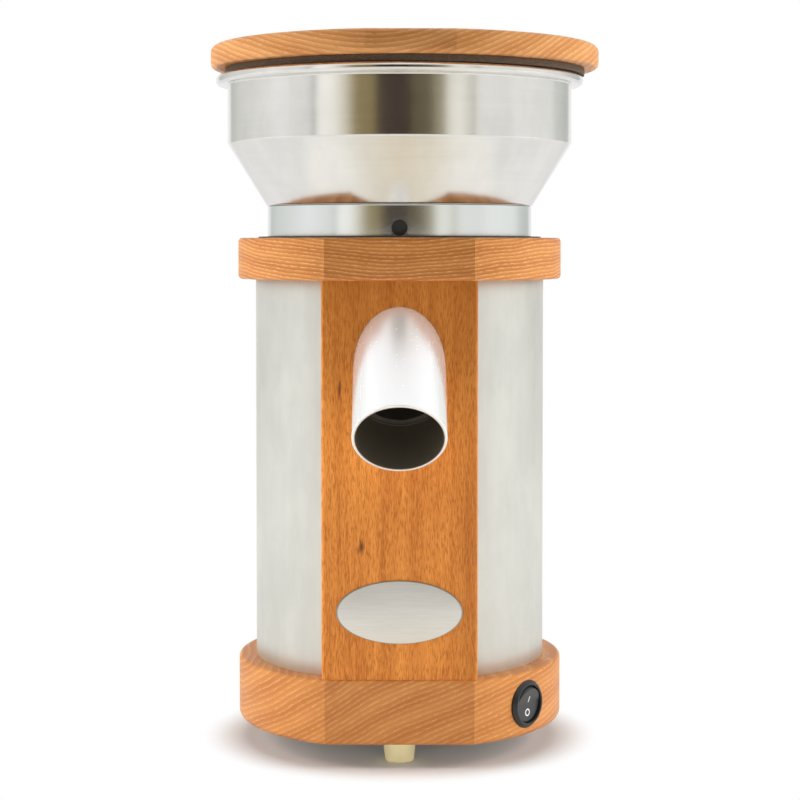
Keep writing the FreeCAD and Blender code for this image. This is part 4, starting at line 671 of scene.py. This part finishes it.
# The adjusting collar: turned aluminium, bead-blasted and anodised. Its threaded neck carries the feed
# tube, and a black plug marks the setting.
FEED_BORE, FEED_WALL, NECK_BORE, NECK_RADIUS, SKIRT_BORE, COLLAR_RADIUS = 14.0, 15.8, 45.0, 51.9, 56.0, 59.3
FEED_LOW, NECK_LOW, SKIRT_LOW, WEB_LOW, COLLAR_HIGH = 207.0, 209.0, 221.6, 232.0, 238.7
INDEX_HEIGHT, INDEX_RADIUS, INDEX_DEPTH = 228.7, 3.4, 3.0
collar_profile = softened([
    (FEED_BORE, FEED_LOW, 0.3),
    (FEED_WALL, FEED_LOW, 0.3),
    (FEED_WALL, WEB_LOW, 1.0),
    (NECK_BORE, WEB_LOW, 1.0),
    (NECK_BORE, NECK_LOW, 0.3),
    (NECK_RADIUS, NECK_LOW, 0.5),
    (NECK_RADIUS, WEB_LOW, 0.3),
    (SKIRT_BORE, WEB_LOW, 0.5),
    (SKIRT_BORE, SKIRT_LOW, 0.3),
    (COLLAR_RADIUS, SKIRT_LOW, 0.4),
    (COLLAR_RADIUS, COLLAR_HIGH, 0.6),
    (FEED_BORE, COLLAR_HIGH, 0.3),
])
index_floor = COLLAR_RADIUS - INDEX_DEPTH
collar_metal = brushed("blasted_aluminium", (0.77, 0.795, 0.79), 0.22, "round",
                       streak=0.0002, run=0.004, depth=0.000001, uneven=0.03)
collar_mesh = cut_away(mesh_of("collar_solid", [(spun(collar_profile, 224), True)]), "collar_mesh", [
    drill((0, -index_floor, INDEX_HEIGHT), (0, -62, INDEX_HEIGHT), INDEX_RADIUS),
])
piece("collar_turned", collar_mesh, "hopper", ["adjusting_collar"], collar_metal)

# The index plug: a black moulded pin that shows how far the collar is turned.
# It is pressed into the collar's bore and ends a little below its surface.
PLUG_RADIUS, PLUG_RIM, PLUG_MIDDLE = INDEX_RADIUS - 0.02, 2.55, 2.45
plug_profile = softened([
    (0.0, 0.0, 0.0), (PLUG_RADIUS, 0.0, 0.05), (PLUG_RADIUS, PLUG_RIM, 0.3), (0.0, PLUG_MIDDLE, 0.0),
], closed=False)


def facing_front(grid, depth, height):
    """Turns a spun grid about its z axis into one about a line to the front, from a depth at a height."""
    return np.stack([grid[..., 0], -depth - grid[..., 2], height + grid[..., 1]], axis=-1)


plug_grid = facing_front(spun(plug_profile, 64), index_floor, INDEX_HEIGHT)
plug_mesh = mesh_of("plug", [(plug_grid, False)])
piece("index_plug_pin", plug_mesh, "hopper", ["index_plug"], black_moulding)

# The hopper: stainless sheet spun on a lathe to a cone and a short cylinder, with its rim rolled over.
# Four screws hold it on the collar.
THROAT, HOPPER_FOOT, HOPPER_RADIUS, BEAD_RADIUS, HOPPER_WALL = 17.0, 59.5, 77.1, 82.3, 1.3
HOPPER_LOW, CREASE, BEAD_LOW, HOPPER_HIGH = COLLAR_HIGH, 266.8, 292.6, 296.8
INNER_FOOT, INNER_CREASE = HOPPER_FOOT - 0.65, CREASE + 0.4
hopper_profile = softened([
    (THROAT, HOPPER_LOW, 0.3),
    (HOPPER_FOOT, HOPPER_LOW, 2.0),
    (HOPPER_RADIUS, CREASE, 2.0),
    (HOPPER_RADIUS, BEAD_LOW, 0.8),
    (BEAD_RADIUS, BEAD_LOW, 1.9),
    (BEAD_RADIUS, HOPPER_HIGH, 1.9),
    (HOPPER_RADIUS - HOPPER_WALL, HOPPER_HIGH, 1.0),
    (HOPPER_RADIUS - HOPPER_WALL, INNER_CREASE, 2.6),
    (INNER_FOOT, HOPPER_LOW + HOPPER_WALL, 1.5),
    (THROAT, HOPPER_LOW + HOPPER_WALL, 0.3),
], steps=9)
hopper_steel = brushed("spun_steel", (0.83, 0.82, 0.79), 0.17, "round",
                       streak=0.0004, run=0.06, depth=0.000006, uneven=0.2)
hopper_mesh = mesh_of("hopper", [(spun(hopper_profile, 288), True)], crisp=50)
piece("hopper_spun", hopper_mesh, "hopper", ["hopper_bowl"], hopper_steel)

# The lid: a thin beech board, round with a straight front, rounded over along its edges.
# It lies on the hopper by the disc screwed under it, a little off the mill's middle and a little turned.
LID_RADIUS, LID_FLAT, LID_LOW, LID_HIGH = 86.8, 2.0, 299.9, 310.0
LID_SHIFT, LID_TURN, LID_EDGE, LID_UNDER_EDGE = 2.3, math.radians(1.7), 3.0, 2.3
lid_rows = np.concatenate([
    round_rows((0.0, LID_HIGH)),
    rounded_edge(LID_HIGH, LID_LOW, LID_EDGE, LID_UNDER_EDGE),
    round_rows((0.0, LID_LOW)),
])
lid_grid = flat_fronted(LID_RADIUS, LID_RADIUS - LID_FLAT, lid_rows, turned=LID_TURN, centre=(LID_SHIFT, 0))
lid_mesh = mesh_of("lid", [(lid_grid, False)])
PALE_BEECH = ((0.50, 0.185, 0.042), (0.77, 0.375, 0.130), (0.88, 0.56, 0.27))
lid_beech = beech("beech_lid", (-14, 405), 2.1, *PALE_BEECH, warp=1.0, contrast=0.5)
piece("lid_wood", lid_mesh, "lid", ["lid"], lid_beech)

# The disc under the lid: dark stained board, turned with a stepped plug that drops into the hopper's mouth.
# Screws from below hold it to the lid.
PLUG_REACH, FLANGE_REACH, PLUG_LOW, FLANGE_LOW = 72.4, 80.5, 292.9, 296.9
disc_profile = softened([
    (0.0, PLUG_LOW, 0.0),
    (PLUG_REACH, PLUG_LOW, 0.5),
    (PLUG_REACH, FLANGE_LOW, 0.2),
    (FLANGE_REACH, FLANGE_LOW, 0.3),
    (FLANGE_REACH, LID_LOW, 0.2),
    (0.0, LID_LOW, 0.0),
], closed=False)


def stained_board():
    """Dark stained fibreboard: a brown-black ground with a coarse sandy speckle."""
    finish = Finish("dark_board", (0.06, 0.035, 0.02), 0.7)
    x, y, z = finish.place()
    grains = finish.noise(x / 0.0006, y / 0.0006, z / 0.0004, detail=3, roughness=0.7)
    cloud = finish.noise(x / 0.02, y / 0.02, z / 0.02, detail=2)
    ground = finish.mixed(cloud, (0.045, 0.026, 0.016), (0.085, 0.055, 0.034))
    finish.coloured(finish.mixed(grains.over(0.45, 0.75) * 0.8, ground, (0.20, 0.15, 0.10)))
    finish.bumped(grains, 0.4, 0.0001)
    return finish.material


disc_mesh = mesh_of("disc", [(spun(disc_profile, 224, (LID_SHIFT, 0)), False)])
piece("lid_disc_board", disc_mesh, "lid", ["lid_disc"], stained_board())

# The switch: a round black snap-in housing with a broad chamfered bezel, moulded in one.
# It is set in a bore in the base's side, with its bezel on a small flat.
SWITCH_BARREL, BEZEL_RADIUS, BEZEL_LAND, SWITCH_OPENING = 9.5, 10.3, 9.0, 8.1
SWITCH_DEPTH, SWITCH_FLOOR, BEZEL_EDGE, BEZEL_HEIGHT = -17.0, -14.0, 0.9, 2.2
switch_profile = softened([
    (0.0, SWITCH_DEPTH, 0.0),
    (SWITCH_BARREL, SWITCH_DEPTH, 0.4),
    (SWITCH_BARREL, 0.0, 0.05),
    (BEZEL_RADIUS, 0.0, 0.15),
    (BEZEL_RADIUS, BEZEL_EDGE, 0.3),
    (BEZEL_LAND, BEZEL_HEIGHT, 0.4),
    (SWITCH_OPENING, BEZEL_HEIGHT, 0.25),
    (SWITCH_OPENING, SWITCH_FLOOR, 0.4),
    (0.0, SWITCH_FLOOR, 0.0),
], closed=False)
sideways = np.array([math.cos(SWITCH_ANGLE), math.sin(SWITCH_ANGLE), 0.0])
upright = np.array([0.0, 0.0, 1.0])


def at_switch(grid):
    """Turns a spun grid about its z axis into one about the line out of the switch's face."""
    place = middle_height + SWITCH_FACE * outward
    return place + grid[..., 0:1] * sideways + grid[..., 1:2] * upright + grid[..., 2:3] * outward


switch_plastic = moulded("switch_plastic", (0.014, 0.014, 0.015), 0.34, grain=0.0003, depth=0.000008)
switch_mesh = mesh_of("switch", [(at_switch(spun(switch_profile, 96)), False)])
piece("switch_bezel", switch_mesh, "housing", ["switch_body"], switch_plastic)

# The rocker: a black ball cut by two faces that meet in a shallow valley, moulded in two colours.
# It tips on two stub pins in the bezel, and its faces carry a bar for on and a ring for off.
ROCKER_BALL, ROCKER_PIVOT, ROCKER_FACE, ROCKER_UNDER = 7.9, -1.0, 0.9, -3.5
ROCKER_THROW = math.radians(20)
BAR_RISE, RING_DROP, MARK_RADIUS = 2.1, 3.7, 1.35


def rocker_grid(softness=0.12):
    """The front of a ball of radius R at height p, cut down to two faces, over a disc of rows and turns.

    At a distance d from the axis and a rise v the height is the soft lesser of p + sqrt(R^2 - d^2) and
    face + tan(throw) v for positive v. Further rows follow the ball past its equator to a flat underside.
    """
    turn = np.linspace(0, 2 * math.pi, 128, endpoint=False)
    lean = np.concatenate([np.linspace(0, 0.85, 30, endpoint=False), np.linspace(0.85, math.pi / 2, 70)])
    lowest = math.pi / 2 + math.asin((ROCKER_PIVOT - ROCKER_UNDER) / ROCKER_BALL)
    lean = np.concatenate([lean, np.linspace(math.pi / 2, lowest, 8)[1:]])[:, None]
    across, ball = ROCKER_BALL * np.sin(lean), ROCKER_PIVOT + ROCKER_BALL * np.cos(lean)
    rise = across * np.sin(turn)
    face = ROCKER_FACE + math.tan(ROCKER_THROW) * (rise + np.sqrt(rise * rise + softness)) / 2
    height = (ball + face - np.sqrt((ball - face) ** 2 + softness * softness)) / 2
    grid = np.stack([across * np.cos(turn), rise, height], axis=-1)
    return np.concatenate([grid, np.stack([0 * turn, 0 * turn, ROCKER_UNDER + 0 * turn], axis=-1)[None]])


def marked_plastic():
    """Black plastic with a white bar above the valley and a white ring below it, by distance from each."""
    finish = Finish("marked_plastic", (0.03, 0.03, 0.032), 0.38)
    x, y, z = finish.place()
    aside = (x * sideways[0] + y * sideways[1]) / MM
    above = (z - SWITCH_HEIGHT * MM) / MM
    bar = (1 - aside.size().over(0.20, 0.32)) * (1 - (above - BAR_RISE).size().over(1.25, 1.4))
    ring = ((aside * aside + (above + RING_DROP) ** 2.0).root() - MARK_RADIUS).size()
    mark = bar + (1 - ring.over(0.20, 0.34))
    grain = finish.noise(x / 0.0004, y / 0.0004, z / 0.0004, detail=3)
    black = finish.mixed(grain, (0.026, 0.026, 0.028), (0.042, 0.042, 0.044))
    finish.coloured(finish.mixed(mark, black, (0.82, 0.82, 0.80)))
    finish.roughened(grain * 0.12 + 0.34)
    finish.bumped(grain, 0.3, 0.00001)
    return finish.material


rocker_mesh = mesh_of("rocker", [(at_switch(rocker_grid()), False)])
piece("rocker_ball", rocker_mesh, "rocker", ["rocker"], marked_plastic())

# The cord gland: a black moulded bush with a flange.
# It is pressed into a bore in the back of the base.
CORD_BORE, GLAND_BARREL, GLAND_FLANGE, GLAND_DEPTH, GLAND_HEIGHT = 3.6, 6.0, 8.4, -34.0, 2.4
gland_profile = softened([
    (CORD_BORE, GLAND_DEPTH, 0.3),
    (GLAND_BARREL, GLAND_DEPTH, 0.4),
    (GLAND_BARREL, 0.0, 0.05),
    (GLAND_FLANGE, 0.0, 0.2),
    (GLAND_FLANGE, GLAND_HEIGHT, 0.8),
    (CORD_BORE, GLAND_HEIGHT, 0.6),
])
turned = spun(gland_profile, 64)
gland_grid = np.stack([turned[..., 0], GLAND_FACE + turned[..., 2], SWITCH_HEIGHT + turned[..., 1]], axis=-1)
gland_mesh = mesh_of("gland", [(gland_grid, True)])
piece("gland_bush", gland_mesh, "housing", ["cord_gland"], black_moulding)

# Inside and out of sight: castings, stones, motor, rods and screws.
# They keep their own solids, and each gets the finish of what it is made of.
sheet_cover = brushed("cover_sheet", (0.62, 0.63, 0.63), 0.4, "across")
plated = brushed("plated_steel", (0.66, 0.66, 0.64), 0.3, "round", streak=0.0003)
casting = moulded("cast_aluminium", (0.30, 0.29, 0.27), 0.6, grain=0.0005, depth=0.00006)
casting.node_tree.nodes["Principled BSDF"].inputs["Metallic"].default_value = 1.0
laminations = brushed("core_laminations", (0.22, 0.22, 0.23), 0.5, "round", streak=0.0005)
copper = brushed("enamelled_copper", (0.50, 0.20, 0.07), 0.35, "round", streak=0.0006)
corundum = moulded("bonded_corundum", (0.60, 0.58, 0.54), 0.8, grain=0.0004, depth=0.0002, spread=0.3)
felt = moulded("wool_felt", (0.60, 0.58, 0.50), 0.9, grain=0.0005, depth=0.0002)
can = moulded("capacitor_case", (0.74, 0.74, 0.71), 0.5)
dowel_wood = beech("beech_dowels", (0, -400), 2.0, *BEECH)
inner_finishes = {
    sheet_cover: ("brushed_sheet", ["bottom_cover"]),
    plated: ("plated_steel", [
        "foot_screws", "ring_screws", "chamber_screws", "tie_rods", "rod_nuts", "guide_pins",
        "lift_springs", "motor_bolts", "motor_studs", "hopper_screws", "lid_screws", "stone_nut",
        "upper_bearing", "lower_bearing", "motor_shaft",
    ]),
    casting: ("cast_metal", [
        "milling_chamber", "upper_bracket", "lower_bracket", "stone_carrier", "stone_hub",
    ]),
    laminations: ("core_steel", ["stator_core", "rotor_core"]),
    copper: ("winding_copper", ["stator_windings"]),
    corundum: ("corundum", ["upper_stone", "lower_stone"]),
    felt: ("seal_felt", ["shaft_seal"]),
    can: ("capacitor_case", ["run_capacitor"]),
    dowel_wood: ("beech", ["panel_dowels"]),
    black_moulding: ("black_moulding", ["flour_wiper", "terminal_block", "cooling_fan"]),
}
for finish, (slot, nodes) in inner_finishes.items():
    for node in nodes:
        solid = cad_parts[node]
        solid.data.materials.clear()
        solid.data.materials.append(finish)

# The studio: a pale floor, a soft overhead light, two side lights and a low light in front.
# The camera stands at the height of the top plate and looks a little down.
scene = bpy.context.scene
scene.view_settings.view_transform = "Standard"
CAMERA_PLACE = (0.0002, -0.9, 0.2216)
FOCAL_PIXELS, FRAME_PIXELS, HORIZON_ROW, SHIFT = 1993.0, 800.0, 244.6, 0.10
lens = bpy.data.cameras.new("lens")
lens.sensor_width = 36.0
lens.lens = FOCAL_PIXELS / FRAME_PIXELS * 36.0
lens.shift_y = -SHIFT
lens.clip_start, lens.clip_end = 0.05, 50.0
camera = bpy.data.objects.new("camera", lens)
scene.collection.objects.link(camera)
downward = math.atan((FRAME_PIXELS / 2 - HORIZON_ROW - SHIFT * FRAME_PIXELS) / FOCAL_PIXELS)
camera.location = CAMERA_PLACE
camera.rotation_euler = (math.pi / 2 - downward, 0, 0)
scene.camera = camera

world = bpy.data.worlds.new("studio")
scene.world = world
world.use_nodes = True
tree = world.node_tree
sky = tree.nodes["Background"]
sky.inputs[0].default_value = (1.0, 1.0, 1.0, 1.0)
rays = tree.nodes.new("ShaderNodeLightPath")


def joined(operation, first, second):
    """The output of a Math node in the world's tree, from plain numbers or sockets."""
    node = tree.nodes.new("ShaderNodeMath")
    node.operation = operation
    for socket, value in zip(node.inputs, (first, second)):
        if isinstance(value, float):
            socket.default_value = value
        else:
            tree.links.new(value, socket)
    return node.outputs[0]


shown = joined("MAXIMUM", rays.outputs["Is Camera Ray"], rays.outputs["Is Glossy Ray"])
shown = joined("MAXIMUM", shown, rays.outputs["Is Transmission Ray"])
AMBIENT = 0.08
strength = joined("ADD", joined("MULTIPLY", shown, 1.0 - AMBIENT), AMBIENT)
tree.links.new(strength, sky.inputs[1])

floor_mesh = mesh_of("floor", [(spun(np.array([(0.0, 0.0), (2500.0, 0.0)]), 64), False)])
floor = bpy.data.objects.new("floor", floor_mesh)
scene.collection.objects.link(floor)
floor_paint = Finish("white_floor", (0.80, 0.77, 0.74), 0.9)
light = floor_paint.node("Emission", {}, {"Color": (1.0, 1.0, 1.0), "Strength": 1.0})
path = floor_paint.node("LightPath", {}, {})
x, y, z = floor_paint.place()
away = (x * x + y * y).root().over(0.070, 0.090)
camera_ray = Field(floor_paint, path.outputs["Is Camera Ray"])
glossy_ray = Field(floor_paint, path.outputs["Is Glossy Ray"])
share = (camera_ray + glossy_ray * 0.8) * (away * 0.98 + 0.02)
both = floor_paint.node("MixShader", {}, {0: share, 1: floor_paint.surface.outputs[0], 2: light.outputs[0]})
floor_paint.tree.links.new(both.outputs[0], floor_paint.tree.nodes["Material Output"].inputs[0])
floor_mesh.materials.append(floor_paint.material)


def softbox(name, place, target, wide, tall, watts, tint=(1.0, 1.0, 1.0)):
    """A rectangular lamp at a place, aimed at a target."""
    lamp = bpy.data.lights.new(name, "AREA")
    lamp.shape = "RECTANGLE"
    lamp.size, lamp.size_y = wide, tall
    lamp.energy = watts
    lamp.color = tint
    box = bpy.data.objects.new(name, lamp)
    scene.collection.objects.link(box)
    aim = np.array(target) - np.array(place)
    box.location = place
    box.rotation_euler = (math.atan2(math.hypot(aim[0], aim[1]), -aim[2]), 0, math.atan2(-aim[0], aim[1]))
    box.visible_glossy = False
    box.visible_camera = False
    return box


softbox("overhead", (0.0, 0.08, 1.6), (0, 0, 0.15), 1.3, 1.3, 12)
softbox("left_side", (-1.3, 0.0, 0.5), (0, 0, 0.15), 0.7, 1.2, 21)
softbox("right_side", (1.3, 0.0, 0.5), (0, 0, 0.15), 0.7, 1.2, 21)
softbox("low_front", (0.0, -0.40, 0.02), (0, 0, 0.04), 0.8, 0.12, 1.0)

# The dim room: a curved screen behind the camera and a card on the floor, which only shiny surfaces see.
# Their colours run round the mill by degrees from the front.
ROOM = [
    (-150, (0.55, 0.56, 0.54)), (-134, (0.75, 0.76, 0.74)), (-100, (0.90, 0.90, 0.88)),
    (-84, (1.0, 1.0, 1.0)), (-70, (0.92, 0.92, 0.90)), (-58, (0.88, 0.88, 0.86)),
    (-56.2, (0.22, 0.20, 0.17)), (-54.6, (0.9, 0.9, 0.88)), (-52, (1.15, 1.15, 1.12)),
    (-42, (1.10, 1.08, 1.02)), (-34, (0.78, 0.72, 0.60)), (-29, (0.42, 0.35, 0.21)),
    (-27, (0.30, 0.235, 0.105)), (-16, (0.30, 0.235, 0.105)), (-13.5, (0.055, 0.036, 0.028)),
    (6, (0.055, 0.036, 0.028)), (8, (0.135, 0.108, 0.062)), (19, (0.15, 0.12, 0.07)),
    (22, (0.30, 0.26, 0.17)), (28, (0.42, 0.37, 0.26)), (31, (0.95, 0.93, 0.85)),
    (39, (1.05, 1.03, 0.97)), (43, (0.85, 0.83, 0.76)), (47, (0.74, 0.72, 0.64)),
    (48.2, (0.25, 0.23, 0.18)), (49.4, (0.95, 0.94, 0.90)), (54, (0.95, 0.95, 0.93)),
    (73, (0.88, 0.88, 0.87)), (80, (1.0, 1.0, 0.98)), (116, (0.95, 0.96, 0.94)),
    (125, (0.70, 0.72, 0.70)), (150, (0.55, 0.57, 0.55)),
]
CARD = [
    (-150, (0.75, 0.75, 0.73)), (-75, (1.10, 1.09, 1.06)), (-50, (1.08, 1.07, 1.02)),
    (-24, (0.92, 0.87, 0.76)), (0, (0.86, 0.77, 0.62)), (24, (0.94, 0.87, 0.74)),
    (50, (1.06, 1.03, 0.97)), (75, (1.10, 1.09, 1.06)), (150, (0.75, 0.75, 0.73)),
]
SCREEN_RADIUS, SCREEN_LOW, SCREEN_HIGH = 1.5, -0.02, 1.0
CARD_INNER, CARD_OUTER, CARD_HEIGHT = 0.085, 0.31, 0.002
room_paint = Finish("room_paint", (0, 0, 0), 1.0)
seen = room_paint.node("Attribute", {"attribute_name": "room"}, {})
glow = room_paint.node("Emission", {}, {"Color": seen.outputs["Color"], "Strength": 1.0})
room_paint.tree.links.new(glow.outputs[0], room_paint.tree.nodes["Material Output"].inputs[0])


def reflected(name, table, edges):
    """A strip round the mill in metres, at (r sin a, -r cos a), between two edges of radius and height.

    Its colours come from a table of azimuth and colour, blended evenly between the rows.
    """
    degrees = np.array([row[0] for row in table], float)
    shades = np.array([row[1] for row in table])
    angle = np.linspace(degrees[0], degrees[-1], 601)
    turn = np.radians(angle)
    radius, height = (np.array(edges)[:, column, None] for column in range(2))
    grid = np.stack([radius * np.sin(turn), -radius * np.cos(turn), height + 0 * turn], axis=-1)
    first = np.arange(len(angle) - 1)
    faces = np.stack([first, first + 1, first + 1 + len(angle), first + len(angle)], axis=-1)
    mesh = bpy.data.meshes.new(name)
    mesh.from_pydata(grid.reshape(-1, 3).tolist(), [], faces.tolist())
    tints = [np.interp(angle, degrees, shades[:, channel]) for channel in range(3)]
    tints = np.stack([*tints, np.ones_like(angle)], axis=-1)
    painted = mesh.color_attributes.new("room", "FLOAT_COLOR", "POINT")
    painted.data.foreach_set("color", np.concatenate([tints, tints]).ravel())
    mesh.materials.append(room_paint.material)
    strip = bpy.data.objects.new(name, mesh)
    scene.collection.objects.link(strip)
    strip.visible_camera = False
    strip.visible_diffuse = False
    strip.visible_shadow = False
    strip.visible_transmission = False


reflected("room_screen", ROOM, [(SCREEN_RADIUS, SCREEN_LOW), (SCREEN_RADIUS, SCREEN_HIGH)])
reflected("room_card", CARD, [(CARD_INNER, CARD_HEIGHT), (CARD_OUTER, CARD_HEIGHT)])
